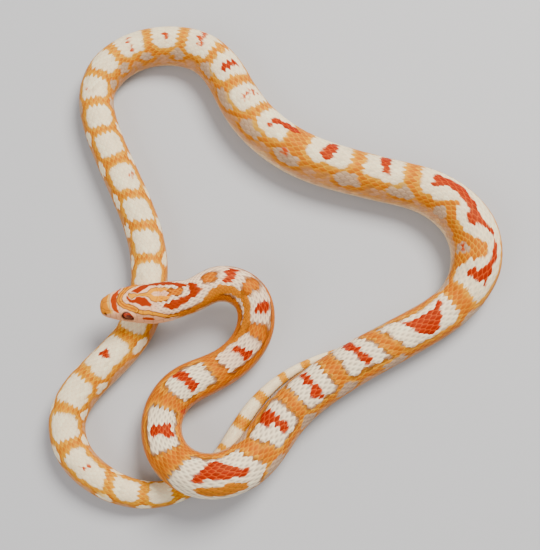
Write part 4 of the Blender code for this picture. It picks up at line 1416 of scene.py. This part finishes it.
def dress():
    """Every piece of the animal, riding on the frame."""
    skin = add_skin()
    skin.data.materials.append(coloured_material(
        "skin_satin", roughness=0.5, bump=0.25, bump_size=2600.0, mottle=0.05))
    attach(skin, "root")
    flesh = [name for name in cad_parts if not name.startswith("eye")]
    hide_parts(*flesh)
    scale_finish = coloured_material(
        "scale_satin", roughness=0.46, bump=0.2, bump_size=3200.0, mottle=0.04)
    roots = scale_roots()
    ends = [start for _, start in COAT[1:]] + [TAIL_END + 1]
    for (name, start), end in zip(COAT, ends):
        piece = add_scales(name, roots[(roots[:, 0] >= start) & (roots[:, 0] < end)])
        piece.data.materials.append(scale_finish)
        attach(piece, "root")
    belly = add_belly_scales("scales_belly")
    belly.data.materials.append(scale_finish)
    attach(belly, "root")
    gloss = eye_material()
    for name, side in (("eye_left", 1), ("eye_right", -1)):
        ball = add_eye(name + "_ball", side)
        ball.data.materials.append(gloss)
        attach(ball, "root")
        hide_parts(name)


# Camera: angle above the floor, distance, focal length in heights of the picture, width of the
# sensor, and nearest distance in m that it sees
CAMERA_HEIGHT = math.radians(73.5)
CAMERA_DISTANCE = 234.52
FOCAL_SHARE = 860 / 550
SENSOR_WIDTH = 36
NEAREST_SEEN = 0.005
# Lights: name, place, width, power in watts and colour
LIGHTS = [
    ("key", (0.25, 0.3, 0.55), 0.35, 8.2, (1.0, 0.92, 0.76)),
    ("fill", (-0.4, -0.35, 0.45), 0.5, 1.9, (1.0, 0.94, 0.84)),
]
# Half width and colour of the floor, and colour and strength of the light from all round
FLOOR_HALF = 0.6
FLOOR_COLOUR = (0.5, 0.53, 0.62, 1)
SKY_COLOUR = (1.0, 0.95, 0.86, 1)
SKY_STRENGTH = 0.5


def add_camera():
    """Camera at the photograph's angle, aimed at the middle of the picture."""
    data = bpy.data.cameras.new("camera")
    data.sensor_width = SENSOR_WIDTH
    data.lens = FOCAL_SHARE * SENSOR_WIDTH
    camera = bpy.data.objects.new("camera", data)
    back = Vector((0, -math.cos(CAMERA_HEIGHT), math.sin(CAMERA_HEIGHT)))
    target = Vector((-PLAN_CENTRE[0], -PLAN_CENTRE[1], 0))
    camera.location = (target + back * CAMERA_DISTANCE) * MM
    camera.rotation_euler = (-back).to_track_quat("-Z", "Y").to_euler()
    data.clip_start = NEAREST_SEEN
    bpy.context.scene.collection.objects.link(camera)
    bpy.context.scene.camera = camera


def add_light(name, place, size, power, colour):
    """Soft round light that faces the middle of the object."""
    data = bpy.data.lights.new(name, "AREA")
    data.shape = "DISK"
    data.size = size
    data.energy = power
    data.color = colour
    light = bpy.data.objects.new(name, data)
    light.location = place
    light.rotation_euler = (-Vector(place)).to_track_quat("-Z", "Y").to_euler()
    bpy.context.scene.collection.objects.link(light)


def add_floor():
    """Plain pale floor."""
    mesh = bpy.data.meshes.new("floor")
    corners = [(x * FLOOR_HALF, y * FLOOR_HALF, 0) for x, y in ((-1, -1), (1, -1), (1, 1), (-1, 1))]
    mesh.from_pydata(corners, [], [(0, 1, 2, 3)])
    floor = bpy.data.objects.new("floor", mesh)
    bpy.context.scene.collection.objects.link(floor)
    material = bpy.data.materials.new("floor_pale")
    material.use_nodes = True
    set_sockets(material.node_tree.nodes["Principled BSDF"], Base_Color=FLOOR_COLOUR, Roughness=0.85)
    mesh.materials.append(material)


def add_world():
    """Warm even light from all round."""
    world = bpy.data.worlds.new("studio")
    world.use_nodes = True
    set_sockets(world.node_tree.nodes["Background"], Color=SKY_COLOUR, Strength=SKY_STRENGTH)
    bpy.context.scene.world = world


dress()
add_floor()
add_world()
for light in LIGHTS:
    add_light(*light)
add_camera()
